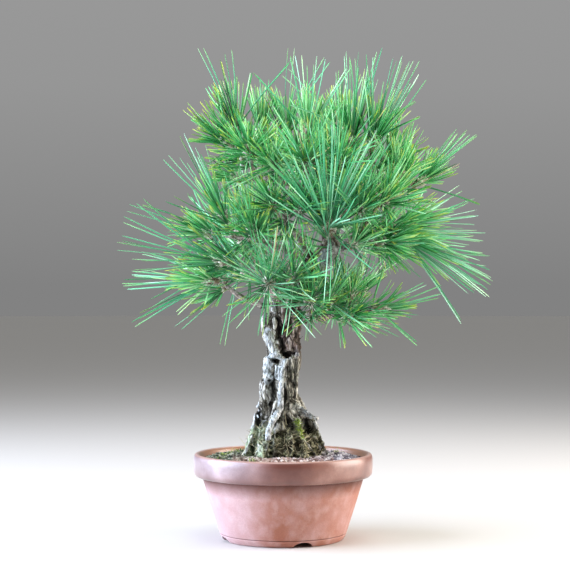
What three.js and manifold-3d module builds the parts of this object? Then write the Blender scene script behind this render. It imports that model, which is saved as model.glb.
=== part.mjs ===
// A Japanese black pine bonsai in its round training pot: a pot with a collar rim, the soil that fills it,
// a drain net on the pot's floor, one grown piece of wood from the root crown to the twigs, and a spray of
// paired needles on each shoot. Millimetres, +Z up, the front of the tree facing -Y.
// The tree is laid out from the pot's axis, and the whole is then centred over the origin at its foot.
import * as THREE from 'three';
import { mergeVertices } from 'three/addons/utils/BufferGeometryUtils.js';
import Module from 'manifold-3d';

const wasm = await Module();
wasm.setup();

// The pot
const POT_SIDES = 28;
const RIM_HEIGHT = 86.5;
const RIM_RADIUS = 90;
const FOOT_RECESS_HEIGHT = 6;
const FOOT_RECESS_RADIUS = 48;
const FLOOR_TOP = 14;
const DRAIN_RADIUS = 13;
const NOTCH_BEARINGS = [19, 109, 199, 289];
const NOTCH_WIDTH = 20;
const NOTCH_HEIGHT = 5.3;

// The soil and the net under it
const SOIL_EDGE_HEIGHT = 79.5;
const SOIL_CROWN_HEIGHT = 85;
const SOIL_RELIEF = 1.3;
const NET_SIZE = 38;
const NET_THICKNESS = 1.2;
const NET_CELLS = 3;
const NET_BAR = 3;

// The wood
const TRUNK_SIDES = 14;
const TRUNK_RINGS = 28;
const BARK_STARTS = 88;
const LIMB_RING_SPACING = 24;
const TWIG_RING_SPACING = 22;
const TWIG_RADIUS = 2.6;
const TWIG_END_RADIUS = 2.1;

// The needles
const LENGTH_PER_PAIR = 20;
const NEEDLE_BASE_RADIUS = 0.95;
const NEEDLE_TIP_SHARE = 0.63;
const PAIR_SPLAY = 5;
const GOLDEN_ANGLE = 137.508;
const TIP_LEAN = 14;
const UPWARD_PULL = 0.1;
const CORE_RADIUS = 3;
const BARE_FOOT = 6;
const FIT_GAP = 0.35;

const degrees = Math.PI / 180;
const vec = ([x, y, z]) => new THREE.Vector3(x, y, z);
const mix = (a, b, t) => a + (b - a) * t;

// A repeatable draw between 0 and 1 for a set of whole numbers.
function draw(a, b, c = 0) {
  const s = Math.sin(a * 12.9898 + b * 78.233 + c * 37.719) * 43758.5453;
  return s - Math.floor(s);
}

// The value at height z of a list of [z, value] steps, straight between them.
function valueAt(steps, z) {
  const next = steps.findIndex(([height]) => height >= z);
  if (next < 0) return steps.at(-1)[1];
  if (next === 0) return steps[0][1];
  const [[z0, v0], [z1, v1]] = [steps[next - 1], steps[next]];
  return mix(v0, v1, (z - z0) / (z1 - z0));
}

// A closed geometry as a solid that can be joined and cut, and back.
function solidOf(geometry) {
  const bare = geometry.clone();
  for (const name of Object.keys(bare.attributes)) {
    if (name !== 'position') bare.deleteAttribute(name);
  }
  const merged = mergeVertices(bare, 1e-4);
  return new wasm.Manifold(new wasm.Mesh({
    numProp: 3,
    vertProperties: merged.attributes.position.array,
    triVerts: new Uint32Array(merged.index.array),
  }));
}

function geometryOf(solid) {
  const mesh = solid.getMesh();
  const geometry = new THREE.BufferGeometry();
  geometry.setAttribute('position', new THREE.BufferAttribute(mesh.vertProperties, 3));
  geometry.setIndex(new THREE.BufferAttribute(mesh.triVerts, 1));
  geometry.computeVertexNormals();
  return geometry;
}

// A turned shape from [radius, height] points, standing along +Z.
function turned(profile, sides) {
  const points = profile.map(([r, z]) => new THREE.Vector2(r, z));
  return new THREE.LatheGeometry(points, sides).rotateX(Math.PI / 2);
}

// Turns a geometry that stands along +Z to point along a direction, and moves its foot to a point.
function stand(geometry, foot, direction) {
  const turn = new THREE.Quaternion().setFromUnitVectors(new THREE.Vector3(0, 0, 1), direction);
  return geometry.applyQuaternion(turn).translate(foot.x, foot.y, foot.z);
}

// A round bar bent along a curve. radiusAt gets the share of the way along, the bearing and the centre.
// A bearing is 0 towards the front of the tree and a quarter turn towards +X.
function bentBar(curve, radiusAt, sides, rings) {
  const bar = new THREE.CylinderGeometry(1, 1, 1, sides, rings);
  const { normals, binormals } = curve.computeFrenetFrames(rings);
  const position = bar.attributes.position;
  for (let i = 0; i < position.count; i++) {
    const share = position.getY(i) + 0.5;
    const ring = Math.round(share * rings);
    const centre = curve.getPointAt(share);
    const out = normals[ring].clone().multiplyScalar(position.getX(i));
    out.addScaledVector(binormals[ring], -position.getZ(i));
    const bearing = Math.atan2(out.x, -out.y);
    out.multiplyScalar(radiusAt(share, bearing, centre)).add(centre);
    position.setXYZ(i, out.x, out.y, out.z);
  }
  return bar;
}

// Materials
const finish = (color, roughness) => new THREE.MeshStandardMaterial({ color, roughness, metalness: 0 });
const terracotta = finish(0xd09684, 0.75);
const gritSoil = finish(0x6f665c, 0.95);
const bark = finish(0x857866, 0.9);
const needleGreen = finish(0x3f8a4c, 0.5);
const netPlastic = finish(0x26282a, 0.6);

// The pot: a turned wall with a collar rim on a foot ring, notched in four places so that water runs out.
const underside = [
  [DRAIN_RADIUS, FLOOR_TOP], [DRAIN_RADIUS, FOOT_RECESS_HEIGHT],
  [FOOT_RECESS_RADIUS, FOOT_RECESS_HEIGHT], [FOOT_RECESS_RADIUS + 0.5, 0],
];
const outerWall = [[59.5, 0], [62, 3.2], [64, 8], [74.8, 43.7], [80.6, 61.6]];
const collar = [
  [86.8, 62.6], [88.8, 66], [RIM_RADIUS, 77], [RIM_RADIUS - 1, 83.5],
  [RIM_RADIUS - 4.4, RIM_HEIGHT], [82, 84.8],
];
const innerWall = [[81, 80], [73.4, 58], [59, 18], [54, FLOOR_TOP]];

function makePot() {
  const profile = [...underside, ...outerWall, ...collar, ...innerWall];
  const wall = solidOf(turned([...profile, profile[0]], POT_SIDES));
  const notches = NOTCH_BEARINGS.map((bearing) => {
    const arch = new THREE.CylinderGeometry(NOTCH_WIDTH / 2, NOTCH_WIDTH / 2, 30, 10);
    arch.scale(1, 1, NOTCH_HEIGHT / (NOTCH_WIDTH / 2));
    arch.translate(0, -FOOT_RECESS_RADIUS - 8, 0);
    return solidOf(arch.rotateZ(bearing * degrees));
  });
  return wall.subtract(wasm.Manifold.union(notches));
}

// The drain net: a square plastic grid that lies on the floor over the drain hole.
function makeDrainNet() {
  const middle = FLOOR_TOP + FIT_GAP + NET_THICKNESS / 2;
  const sheet = new THREE.BoxGeometry(NET_SIZE, NET_SIZE, NET_THICKNESS).translate(0, 0, middle);
  const pitch = (NET_SIZE - NET_BAR) / NET_CELLS;
  const cells = [];
  for (let i = 0; i < NET_CELLS; i++) {
    for (let j = 0; j < NET_CELLS; j++) {
      const cell = new THREE.BoxGeometry(pitch - NET_BAR, pitch - NET_BAR, NET_THICKNESS * 3);
      const centre = [i, j].map((place) => (place + 0.5 - NET_CELLS / 2) * pitch);
      cells.push(solidOf(cell.translate(...centre, middle)));
    }
  }
  return solidOf(sheet).subtract(wasm.Manifold.union(cells));
}

// The soil: it fills the pot to just under the rim and rises a little to the trunk. Its surface is lumpy,
// it stands round the net, and the wood's foot stands in a hole of its own shape.
function makeSoil(woodHole) {
  const surfaceAt = (radius) => mix(SOIL_CROWN_HEIGHT, SOIL_EDGE_HEIGHT, (radius - 42) / 38);
  const wall = innerWall.map(([radius, z]) => [radius - FIT_GAP, z]).reverse();
  wall[0] = [wall[0][0] - FIT_GAP, FLOOR_TOP + FIT_GAP];
  wall[3][1] = SOIL_EDGE_HEIGHT;
  const surface = [72, 62, 52].map((radius) => [radius, surfaceAt(radius)]);
  const profile = [[0, FLOOR_TOP + FIT_GAP], ...wall, ...surface, [0, SOIL_CROWN_HEIGHT]];
  const body = turned(profile, POT_SIDES);
  const position = body.attributes.position;
  for (let i = 0; i < position.count; i++) {
    const [x, y, z] = [position.getX(i), position.getY(i), position.getZ(i)];
    const lump = SOIL_RELIEF * (2 * draw(Math.round(x), Math.round(y)) - 1);
    if (z > SOIL_EDGE_HEIGHT + 0.1) position.setZ(i, z + lump);
  }
  const pocket = new THREE.BoxGeometry(NET_SIZE + 2 * FIT_GAP, NET_SIZE + 2 * FIT_GAP, NET_THICKNESS * 2);
  pocket.translate(0, 0, FLOOR_TOP + 2 * FIT_GAP);
  return solidOf(body).subtract(solidOf(pocket)).subtract(woodHole);
}

// The trunk's axis and radius from the root ball up to the leader, as [x, y, z, radius]
const trunkStations = [
  [0, 0, 32, 28], [0, 0, 60, 33], [1, 0, 84, 37], [2, 0, 94, 36], [1, 0, 108, 31], [-1, 0, 121, 25],
  [-4, 0, 134, 19], [-4.5, -1, 154, 18.5], [-1, 0, 171, 17.5], [2, 1, 184, 16], [-1, 0, 199, 18.5],
  [-2, -1, 219, 19], [0, -1, 236, 18], [8, 0, 249, 15], [20, 0, 262, 12.5], [34, -2, 275, 11],
  [46, -4, 290, 10], [48, 2, 306, 8.5], [42, 10, 330, 7], [36, 8, 356, 6], [44, 2, 380, 5],
  [52, 2, 388, 3.8],
];
const trunkRadius = [...trunkStations.map(([, , z, radius]) => [z, radius]), [402, TWIG_END_RADIUS]];

// Roots and ridges of live wood, which stand out from the trunk and run down into the soil
const roots = {
  front: { radius: [4, 7], points: [
    [-1, -15, 182], [-3, -20, 158], [-6, -24, 136], [-14, -33, 112], [-20, -37, 86], [-14, -22, 68]] },
  left_ridge: { radius: [4, 6], points: [
    [-11, -6, 172], [-16, -8, 150], [-21, -9, 134], [-28, -12, 119], [-30, -13, 106], [-37, -14, 90],
    [-24, -9, 68]] },
  right: { radius: [5, 5], points: [
    [6, -4, 136], [18, -6, 127], [29, -8, 120], [34, -9, 104], [39, -10, 86], [25, -8, 68]] },
  front_right: { radius: [5, 6.5], points: [
    [5, -12, 136], [13, -24, 116], [19, -32, 98], [22, -34, 84], [14, -22, 68]] },
  left_strand: { radius: [3, 3.6], points: [
    [-24, -14, 122], [-31, -19, 108], [-35, -23, 96], [-36, -21, 84], [-24, -15, 68]] },
  back_right: { radius: [5, 7], points: [
    [10, 12, 150], [18, 20, 128], [26, 28, 104], [28, 30, 84], [18, 20, 68]] },
  back_left: { radius: [5, 7], points: [
    [-10, 12, 150], [-18, 20, 126], [-25, 28, 104], [-26, 29, 84], [-18, 20, 68]] },
  back: { radius: [4, 6], points: [
    [2, 16, 160], [2, 26, 130], [1, 35, 104], [1, 38, 84], [1, 26, 68]] },
};

// Limbs: the radius that each leaves the trunk with, and the points that it passes on its way out
const limbs = {
  low_left: { radius: 4.8, points: [
    [-8, -4, 226], [-24, -10, 236], [-42, -11, 242], [-50, -9, 250], [-61, -10, 256]] },
  low_right: { radius: 4.4, points: [
    [8, -2, 222], [23, -6, 219], [44, -9, 223], [66, -6, 227], [84, -2, 229]] },
  low_front: { radius: 5, points: [[2, -4, 236], [-6, -16, 243], [-11, -28, 247], [-14, -36, 248]] },
  mid_left: { radius: 5.4, points: [
    [6, -2, 244], [-6, -8, 256], [-20, -12, 265], [-36, -14, 270], [-43, -16, 272]] },
  left: { radius: 5, points: [
    [34, -2, 276], [18, -6, 284], [-2, -9, 292], [-24, -10, 299], [-46, -8, 302]] },
  front_centre: { radius: 6, points: [[46, -4, 290], [48, -18, 293], [47, -32, 296], [46, -40, 298]] },
  right: { radius: 6, points: [
    [46, -4, 290], [60, -8, 296], [78, -10, 301], [94, -12, 306], [104, -14, 309]] },
  right_up: { radius: 4.8, points: [
    [46, 6, 318], [64, 2, 332], [88, -4, 343], [110, -5, 349], [124, -2, 350]] },
  top_right: { radius: 3.8, points: [
    [42, 3, 374], [56, -4, 380], [72, -6, 380], [86, -8, 377], [98, -2, 370]] },
  top_left: { radius: 3.8, points: [[38, 7, 362], [28, 2, 378], [16, -2, 388], [4, 2, 392]] },
  upper_left: { radius: 4.8, points: [
    [40, 9, 346], [20, 3, 354], [-2, -3, 358], [-24, -4, 364], [-36, -4, 378], [-42, -4, 394]] },
  front_left: { radius: 4.4, points: [[30, -2, 278], [20, -20, 296], [8, -32, 312], [0, -38, 324]] },
  front_right: { radius: 4.4, points: [[62, -8, 296], [74, -24, 308], [82, -36, 318], [86, -42, 326]] },
  front_top: { radius: 4, points: [[38, 8, 352], [42, -14, 356], [40, -30, 360], [36, -38, 362]] },
  back_low: { radius: 5.4, points: [[4, 4, 242], [14, 30, 256], [20, 52, 266], [24, 68, 276]] },
  back_left: { radius: 5, points: [[22, 3, 264], [2, 30, 278], [-18, 48, 288], [-38, 60, 295]] },
  back_mid: { radius: 5.4, points: [[46, 0, 300], [46, 32, 306], [50, 58, 312], [54, 82, 316]] },
  back_right: { radius: 4.6, points: [[66, -8, 297], [82, 24, 304], [98, 44, 309], [114, 56, 313]] },
  back_top: { radius: 4.4, points: [[42, 10, 336], [34, 34, 348], [24, 56, 358], [16, 74, 365]] },
};

// Shoots: the limb that each grows from and how far along it, the shoot's foot, the way that it points,
// how many degrees its lowest needles lean from that, and the length of its needles. A limb runs on into
// the shoot at its tip, and a twig reaches any other.
const shoots = [
  ['low_left', 1, [-64, -13, 259], [-0.85, -0.3, 0.0], 56, 58],
  ['low_left', 0.8, [-61, 10, 262], [-0.93, 0.1, -0.2], 24, 100],
  ['low_front', 1, [-13, -45, 254], [-0.15, -0.95, 0.2], 104, 72],
  ['low_front', 0.6, [8, -36, 258], [0.3, -0.85, 0.35], 90, 72],
  ['mid_left', 1, [-48, -21, 277], [-0.95, -0.22, 0.1], 34, 108],
  ['mid_left', 0.6, [-26, 6, 276], [-0.35, 0.2, 0.9], 45, 66],
  ['mid_left', 0.8, [-40, 32, 267], [-0.6, 0.75, 0.2], 50, 72],
  ['left', 0.85, [-53, -16, 314], [-0.52, -0.15, 0.82], 36, 92],
  ['left', 1, [-62, 0, 304], [-0.93, 0, 0.2], 45, 84],
  ['left', 0.75, [-34, 28, 314], [-0.3, 0.6, 0.75], 50, 66],
  ['left', 0.6, [-28, -38, 303], [-0.2, -0.75, 0.5], 78, 62],
  ['low_right', 0.5, [43, -18, 234], [0.1, -0.8, 0.6], 88, 58],
  ['low_right', 1, [90, -3, 231], [0.97, -0.1, 0.0], 30, 64],
  ['low_right', 0.7, [66, -15, 237], [0.25, -0.3, 0.9], 40, 48],
  ['low_right', 0.75, [72, 16, 238], [0.64, 0.25, 0.72], 14, 72],
  ['low_right', 0.6, [60, -28, 224], [0.62, -0.75, -0.15], 50, 54],
  ['low_right', 0.25, [26, -34, 236], [0.05, -0.92, 0.35], 95, 52],
  ['low_right', 0.55, [58, 40, 246], [0.3, 0.9, 0.1], 40, 64],
  ['front_centre', 1, [45, -47, 303], [-0.05, -0.66, 0.75], 84, 104],
  ['front_centre', 0.5, [64, -30, 291], [0.6, -0.7, 0.4], 60, 60],
  ['right', 1, [112, -15, 306], [0.86, -0.12, -0.48], 23, 97],
  ['right', 0.75, [99, -26, 313], [0.94, -0.3, 0.0], 26, 86],
  ['right', 0.6, [90, -34, 297], [0.84, -0.5, 0.0], 40, 60],
  ['right_up', 1, [129, 0, 354], [0.84, 0, 0.5], 48, 64],
  ['right_up', 0.85, [112, -20, 357], [0.3, -0.5, 0.8], 52, 58],
  ['right_up', 0.7, [104, 32, 348], [0.6, 0.55, 0.5], 45, 60],
  ['front_right', 1, [93, -49, 332], [0.4, -0.8, 0.4], 76, 62],
  ['front_right', 0.7, [74, -52, 326], [0.15, -0.9, 0.35], 88, 64],
  ['top_right', 0.4, [68, -9, 390], [0.05, -0.2, 0.97], 42, 90],
  ['top_right', 0.7, [87, -14, 388], [0.27, -0.25, 0.93], 38, 86],
  ['top_right', 1, [104, 2, 373], [0.5, 0.05, 0.85], 50, 50],
  ['trunk', 1, [57, 14, 403], [-0.1, 0.35, 0.95], 35, 72],
  ['top_left', 0.6, [25, -12, 398], [0, -0.2, 0.97], 42, 80],
  ['top_left', 1, [3, 6, 399], [0.02, 0.1, 0.99], 36, 90],
  ['top_left', 0.5, [32, 44, 396], [0, 0.65, 0.75], 42, 60],
  ['front_top', 0.9, [52, -46, 367], [0.2, -0.8, 0.55], 80, 64],
  ['front_top', 1, [24, -48, 369], [-0.1, -0.85, 0.5], 80, 62],
  ['upper_left', 1, [-44, -4, 403], [-0.3, -0.1, 0.95], 40, 88],
  ['upper_left', 0.85, [-49, -16, 393], [-0.78, -0.3, 0.5], 40, 56],
  ['upper_left', 0.75, [-30, -28, 382], [-0.35, -0.75, 0.5], 74, 58],
  ['upper_left', 0.6, [-38, 4, 360], [-0.85, -0.2, 0.3], 60, 40],
  ['upper_left', 0.8, [-22, 12, 404], [0.05, 0.2, 0.97], 34, 62],
  ['upper_left', 0.45, [-7, -36, 368], [-0.2, -0.85, 0.45], 80, 60],
  ['upper_left', 0.65, [-22, 36, 380], [-0.35, 0.65, 0.65], 45, 60],
  ['front_left', 1, [-6, -44, 329], [-0.4, -0.8, 0.35], 80, 62],
  ['front_left', 0.8, [16, -50, 326], [0.1, -0.95, 0.25], 90, 60],
  ['back_low', 1, [25, 75, 281], [0.1, 0.95, 0.25], 48, 76],
  ['back_low', 0.7, [-2, 62, 268], [-0.4, 0.9, 0.15], 45, 64],
  ['back_left', 1, [-43, 66, 299], [-0.5, 0.8, 0.3], 45, 80],
  ['back_left', 0.8, [-26, 58, 318], [-0.35, 0.5, 0.75], 45, 66],
  ['back_mid', 1, [55, 90, 319], [0.1, 0.95, 0.3], 55, 84],
  ['back_mid', 0.8, [72, 68, 334], [0.35, 0.6, 0.7], 45, 68],
  ['back_right', 1, [120, 61, 315], [0.6, 0.75, 0.25], 36, 78],
  ['back_top', 1, [12, 81, 369], [-0.15, 0.85, 0.5], 50, 74],
  ['back_top', 0.6, [46, 62, 374], [0.3, 0.65, 0.7], 45, 68],
];

const shootsOn = {};
const sprays = shoots.map(([limb, share, foot, direction, opening, length]) => {
  shootsOn[limb] = (shootsOn[limb] ?? 0) + 1;
  const name = `needles_${limb}_${shootsOn[limb]}`;
  const way = vec(direction).normalize();
  return { name, limb, share, foot: vec(foot), way, opening, length, tall: 9 + 0.11 * length };
});

// Wood stops just short of the foot of a shoot, and reaches it in line with the shoot.
const before = ({ foot, way }, distance) => foot.clone().addScaledVector(way, -distance);

function limbAxis(name, points) {
  const tip = sprays.find(({ limb, share }) => limb === name && share === 1);
  return new THREE.CatmullRomCurve3([...points.map(vec), before(tip, 7), before(tip, FIT_GAP)]);
}

const trunkAxis = limbAxis('trunk', trunkStations);
for (const [name, limb] of Object.entries(limbs)) limb.axis = limbAxis(name, limb.points);

function twigAxis(spray) {
  const start = (limbs[spray.limb]?.axis ?? trunkAxis).getPointAt(spray.share);
  const end = before(spray, FIT_GAP);
  return new THREE.QuadraticBezierCurve3(start, before(spray, 0.45 * start.distanceTo(end)), end);
}
const twigs = sprays.filter(({ share }) => share < 1).map(twigAxis);

// The trunk's relief: long ridges that wander round it, plates of bark, and a deep cleft down its front.
function trunkRelief(bearing, z) {
  if (z < BARK_STARTS) return 1;
  const grow = Math.min(1, (z - BARK_STARTS) / 14) * THREE.MathUtils.clamp((330 - z) / 60, 0.15, 1);
  const ridges = 0.11 * Math.cos(5 * bearing + 1.3 * Math.sin(z / 21));
  const ribs = 0.04 * Math.cos(7 * bearing - z / 13);
  const plates = 0.07 * Math.sin(z / 5.5 + 2 * Math.sin(3 * bearing));
  const cleft = Math.exp(-(((z - 208) / 20) ** 2) - ((bearing - 0.22) / 0.34) ** 2);
  return 1 + grow * (ridges + ribs + plates) - 0.4 * cleft;
}

// The trunk with its roots, or with a margin the hole that they stand in.
function trunkAndRoots(margin) {
  const trunkAt = (share, bearing, centre) => (
    valueAt(trunkRadius, centre.z) * trunkRelief(bearing, centre.z) + margin
  );
  const pieces = [solidOf(bentBar(trunkAxis, trunkAt, TRUNK_SIDES, TRUNK_RINGS))];
  for (const { radius, points } of Object.values(roots)) {
    const axis = new THREE.CatmullRomCurve3(points.map(vec));
    const swelling = (share) => mix(...radius, share) * (0.9 + 0.2 * Math.sin(9 * share)) + margin;
    pieces.push(solidOf(bentBar(axis, swelling, 5, 5)));
  }
  return wasm.Manifold.union(pieces);
}

function makeWoodHole() {
  const [, , bottom, radius] = trunkStations[0];
  const seat = new THREE.CylinderGeometry(radius + 1, radius + 1, 2, POT_SIDES).rotateX(Math.PI / 2);
  return trunkAndRoots(1.2 * FIT_GAP).add(solidOf(seat.translate(0, 0, bottom - FIT_GAP + 1)));
}

function makeWood() {
  const pieces = [trunkAndRoots(0)];
  for (const { axis, radius } of Object.values(limbs)) {
    const rings = Math.round(axis.getLength() / LIMB_RING_SPACING) + 1;
    pieces.push(solidOf(bentBar(axis, (share) => mix(radius, TWIG_END_RADIUS, share), 5, rings)));
  }
  for (const axis of twigs) {
    const rings = Math.ceil(axis.getLength() / TWIG_RING_SPACING);
    pieces.push(solidOf(bentBar(axis, (share) => mix(TWIG_RADIUS, TWIG_END_RADIUS, share), 4, rings)));
  }
  return wasm.Manifold.union(pieces);
}

// Everything that a needle keeps clear of, as round bars: { from, to, radius, owner }
const bars = [];
function addBars(curve, steps, radiusAt, owner) {
  const points = curve.getSpacedPoints(steps);
  for (let i = 0; i < steps; i++) {
    const radius = Math.max(radiusAt(i / steps, points[i]), radiusAt((i + 1) / steps, points[i + 1]));
    bars.push({ from: points[i], to: points[i + 1], radius, owner });
  }
}

function addWoodBars() {
  addBars(trunkAxis, 40, (share, point) => 1.25 * valueAt(trunkRadius, point.z), 'wood');
  for (const { axis, radius } of Object.values(limbs)) {
    addBars(axis, 8, (share) => 1.1 * mix(radius, TWIG_END_RADIUS, share), 'wood');
  }
  for (const axis of twigs) addBars(axis, 4, () => TWIG_RADIUS, 'wood');
}

// The gap between two bars: the least distance of their axes, less both radii.
const ray = new THREE.Ray();
const [onBar, onOther, otherLine] = [new THREE.Vector3(), new THREE.Vector3(), new THREE.Line3()];
function gapBetween(bar, other) {
  const length = bar.from.distanceTo(bar.to);
  ray.origin.copy(bar.from);
  ray.direction.subVectors(bar.to, bar.from).divideScalar(length);
  ray.distanceSqToSegment(other.from, other.to, onBar, onOther);
  if (onBar.distanceTo(bar.from) > length) {
    onBar.copy(bar.to);
    otherLine.set(other.from, other.to).closestPointToPoint(bar.to, true, onOther);
  }
  return onBar.distanceTo(onOther) - bar.radius - other.radius;
}
const isClear = (needle) => bars.every((bar) => (
  bar.owner === needle.owner || gapBetween(needle, bar) > FIT_GAP
));

// The slim stem of a shoot, with a bud at its tip, that its needles stand out of.
function makeCore({ foot, way, tall }) {
  const profile = [[0, 0], [0.8 * CORE_RADIUS, 0], [CORE_RADIUS, 0.6 * tall], [0, tall]];
  return solidOf(stand(turned(profile, 4), foot, way));
}

// One needle: a three-sided blade that narrows a little to a blunt tip.
const needleSection = new THREE.Shape([0, 120, 240].map((turn) => (
  new THREE.Vector2(NEEDLE_BASE_RADIUS, 0).rotateAround(new THREE.Vector2(), turn * degrees)
)));

function makeNeedle({ from, to }) {
  const depth = from.distanceTo(to);
  const blade = new THREE.ExtrudeGeometry(needleSection, { depth, bevelEnabled: false });
  const position = blade.attributes.position;
  for (let i = 0; i < position.count; i++) {
    const width = mix(1, NEEDLE_TIP_SHARE, position.getZ(i) / depth);
    position.setXY(i, position.getX(i) * width, position.getY(i) * width);
  }
  return solidOf(stand(blade, from, to.clone().sub(from).normalize()));
}

// A pair of needles from one sheath, at a height on the shoot's core. It leans from the shoot's own way
// and is turned round it, and its two needles part a little.
function needlePair({ name, foot, way }, height, lean, turn, length) {
  const side = new THREE.Vector3(0, 0, 1).cross(way).normalize();
  const out = side.applyAxisAngle(way, turn);
  const across = new THREE.Vector3().crossVectors(way, out);
  const middle = way.clone().multiplyScalar(Math.cos(lean)).addScaledVector(out, Math.sin(lean));
  middle.z += UPWARD_PULL;
  middle.normalize();
  const base = foot.clone().addScaledVector(way, height);
  return [-1, 1].map((hand) => {
    const from = base.clone().addScaledVector(across, hand * NEEDLE_BASE_RADIUS);
    const splay = middle.clone().addScaledVector(across, hand * Math.tan(PAIR_SPLAY * degrees)).normalize();
    const to = from.clone().addScaledVector(splay, length);
    return { from, to, radius: NEEDLE_BASE_RADIUS, owner: name };
  });
}

// The pairs of one shoot, a golden angle apart, from wide open at its foot to nearly straight at its tip.
// A pair that would touch another spray or the wood is turned until it is clear.
function placeNeedles(spray, number) {
  const placed = [];
  const pairs = Math.round(spray.length / LENGTH_PER_PAIR);
  for (let i = 0; i < pairs; i++) {
    const share = i / (pairs - 1);
    const height = mix(BARE_FOOT, 0.85 * spray.tall, share);
    const length = spray.length * mix(0.86, 1, draw(number, i));
    for (let attempt = 0; attempt < 40; attempt++) {
      const leanShift = (draw(number, i, attempt + 1) - 0.5) * (8 + attempt);
      const turnShift = (draw(number, i, attempt + 51) - 0.5) * (10 + 3 * attempt);
      const lean = (mix(spray.opening, TIP_LEAN, share ** 0.8) + leanShift) * degrees;
      const turn = (i * GOLDEN_ANGLE + turnShift) * degrees;
      const pair = needlePair(spray, height, lean, turn, length);
      if (pair.every(isClear)) {
        bars.push(...pair);
        placed.push(...pair);
        break;
      }
    }
  }
  return placed;
}

// The assembly
const bonsai = new THREE.Group();
function addNode(name, solid, material) {
  const mesh = new THREE.Mesh(geometryOf(solid), material);
  mesh.name = name;
  bonsai.add(mesh);
}

addNode('pot', makePot(), terracotta);
addNode('drain_net', makeDrainNet(), netPlastic);
addNode('soil', makeSoil(makeWoodHole()), gritSoil);
addNode('trunk_and_branches', makeWood(), bark);

addWoodBars();
for (const { name, foot, way, tall } of sprays) {
  bars.push({ from: foot, to: foot.clone().addScaledVector(way, tall), radius: CORE_RADIUS, owner: name });
}
sprays.forEach((spray, number) => {
  const pieces = [makeCore(spray), ...placeNeedles(spray, number).map(makeNeedle)];
  addNode(spray.name, wasm.Manifold.union(pieces), needleGreen);
});

// The origin is under the middle of the whole object's box, at the height of the foot.
const box = new THREE.Box3().setFromObject(bonsai);
bonsai.position.set(-(box.min.x + box.max.x) / 2, -(box.min.y + box.max.y) / 2, -box.min.z);
bonsai.updateMatrixWorld(true);

export default bonsai;
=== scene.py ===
# %% [markdown]
# # A Japanese black pine bonsai in its training pot
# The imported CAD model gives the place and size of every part: the pot, the soil, the wood and one plain
# node for each spray of needles. This lesson dresses that frame. It starts by loading it, and it keeps the
# CAD box, because nothing that is modelled here may stand outside it.

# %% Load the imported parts
import math
from functools import partial

import bpy
import numpy as np
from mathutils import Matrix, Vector, noise
from mathutils.bvhtree import BVHTree


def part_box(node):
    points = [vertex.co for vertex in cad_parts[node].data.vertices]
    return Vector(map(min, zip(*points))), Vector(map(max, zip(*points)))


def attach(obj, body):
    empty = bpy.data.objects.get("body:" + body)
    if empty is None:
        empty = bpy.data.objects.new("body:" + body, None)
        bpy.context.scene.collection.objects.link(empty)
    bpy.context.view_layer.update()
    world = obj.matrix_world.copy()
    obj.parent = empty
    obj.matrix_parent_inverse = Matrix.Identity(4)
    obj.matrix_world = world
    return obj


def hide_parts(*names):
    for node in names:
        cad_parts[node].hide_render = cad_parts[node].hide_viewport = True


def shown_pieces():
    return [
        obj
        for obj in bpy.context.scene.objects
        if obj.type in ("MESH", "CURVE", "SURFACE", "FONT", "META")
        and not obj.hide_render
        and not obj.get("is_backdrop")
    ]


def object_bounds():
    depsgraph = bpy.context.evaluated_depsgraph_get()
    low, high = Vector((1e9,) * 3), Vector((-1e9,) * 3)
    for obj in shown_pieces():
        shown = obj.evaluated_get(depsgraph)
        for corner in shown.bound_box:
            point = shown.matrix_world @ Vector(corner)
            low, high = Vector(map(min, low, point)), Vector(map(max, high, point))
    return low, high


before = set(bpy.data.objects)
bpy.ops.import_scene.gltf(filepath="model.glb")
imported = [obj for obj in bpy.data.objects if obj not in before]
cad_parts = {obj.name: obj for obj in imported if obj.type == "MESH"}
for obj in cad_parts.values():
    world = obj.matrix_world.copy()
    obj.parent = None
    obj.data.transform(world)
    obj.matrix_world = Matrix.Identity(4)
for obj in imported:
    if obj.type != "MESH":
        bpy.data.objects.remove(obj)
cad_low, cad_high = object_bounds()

MM = 0.001
UP = (0, 0, 1)
NOISE_SEED = 2  # without a seed, the noise library draws its offsets from the clock
noise.seed_set(NOISE_SEED)
pot_low, pot_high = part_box("pot")
pot_axis = (pot_low + pot_high) / 2
pot_axis.z = 0
axis_point = np.array(pot_axis)
print("CAD box in mm:", [round(v / MM, 1) for v in (*cad_low, *cad_high)])

# %% [markdown]
# The tree was laid out from the pot's own axis, in millimetres. One small function turns such a point into
# the scene's metres. The others do what every step needs: leave one object selected and active, apply a
# modifier by hand, and read, move or paint the points of a mesh with numpy arrays.

# %% Helpers for places and meshes
def place(x, y, z):
    """A point in millimetres from the pot's axis and the table, in the scene's metres."""
    return Vector((pot_axis.x + x * MM, pot_axis.y + y * MM, z * MM))


def pick(piece):
    """Leaves one object selected and active, in object mode."""
    bpy.ops.object.select_all(action="DESELECT")
    piece.select_set(True)
    bpy.context.view_layer.objects.active = piece


def modify(piece, kind, **settings):
    """Adds a modifier with its settings and applies it."""
    pick(piece)
    modifier = piece.modifiers.new(kind.lower(), kind)
    for name, value in settings.items():
        setattr(modifier, name, value)
    bpy.ops.object.modifier_apply(modifier=modifier.name)


def new_piece(name, points, edges=(), faces=()):
    """A new mesh object from points in metres."""
    mesh = bpy.data.meshes.new(name)
    mesh.from_pydata(points, edges, faces)
    piece = bpy.data.objects.new(name, mesh)
    bpy.context.scene.collection.objects.link(piece)
    return piece


def read_points(piece, what="co"):
    """The vertices' places, or their normals, as rows of a numpy array."""
    vertices = piece.data.vertices
    values = np.zeros(len(vertices) * 3)
    vertices.foreach_get(what, values)
    return values.reshape(-1, 3)


def from_pot_axis(piece):
    """The piece's vertices in mm from the pot's axis."""
    return (read_points(piece) - axis_point) / MM


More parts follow.
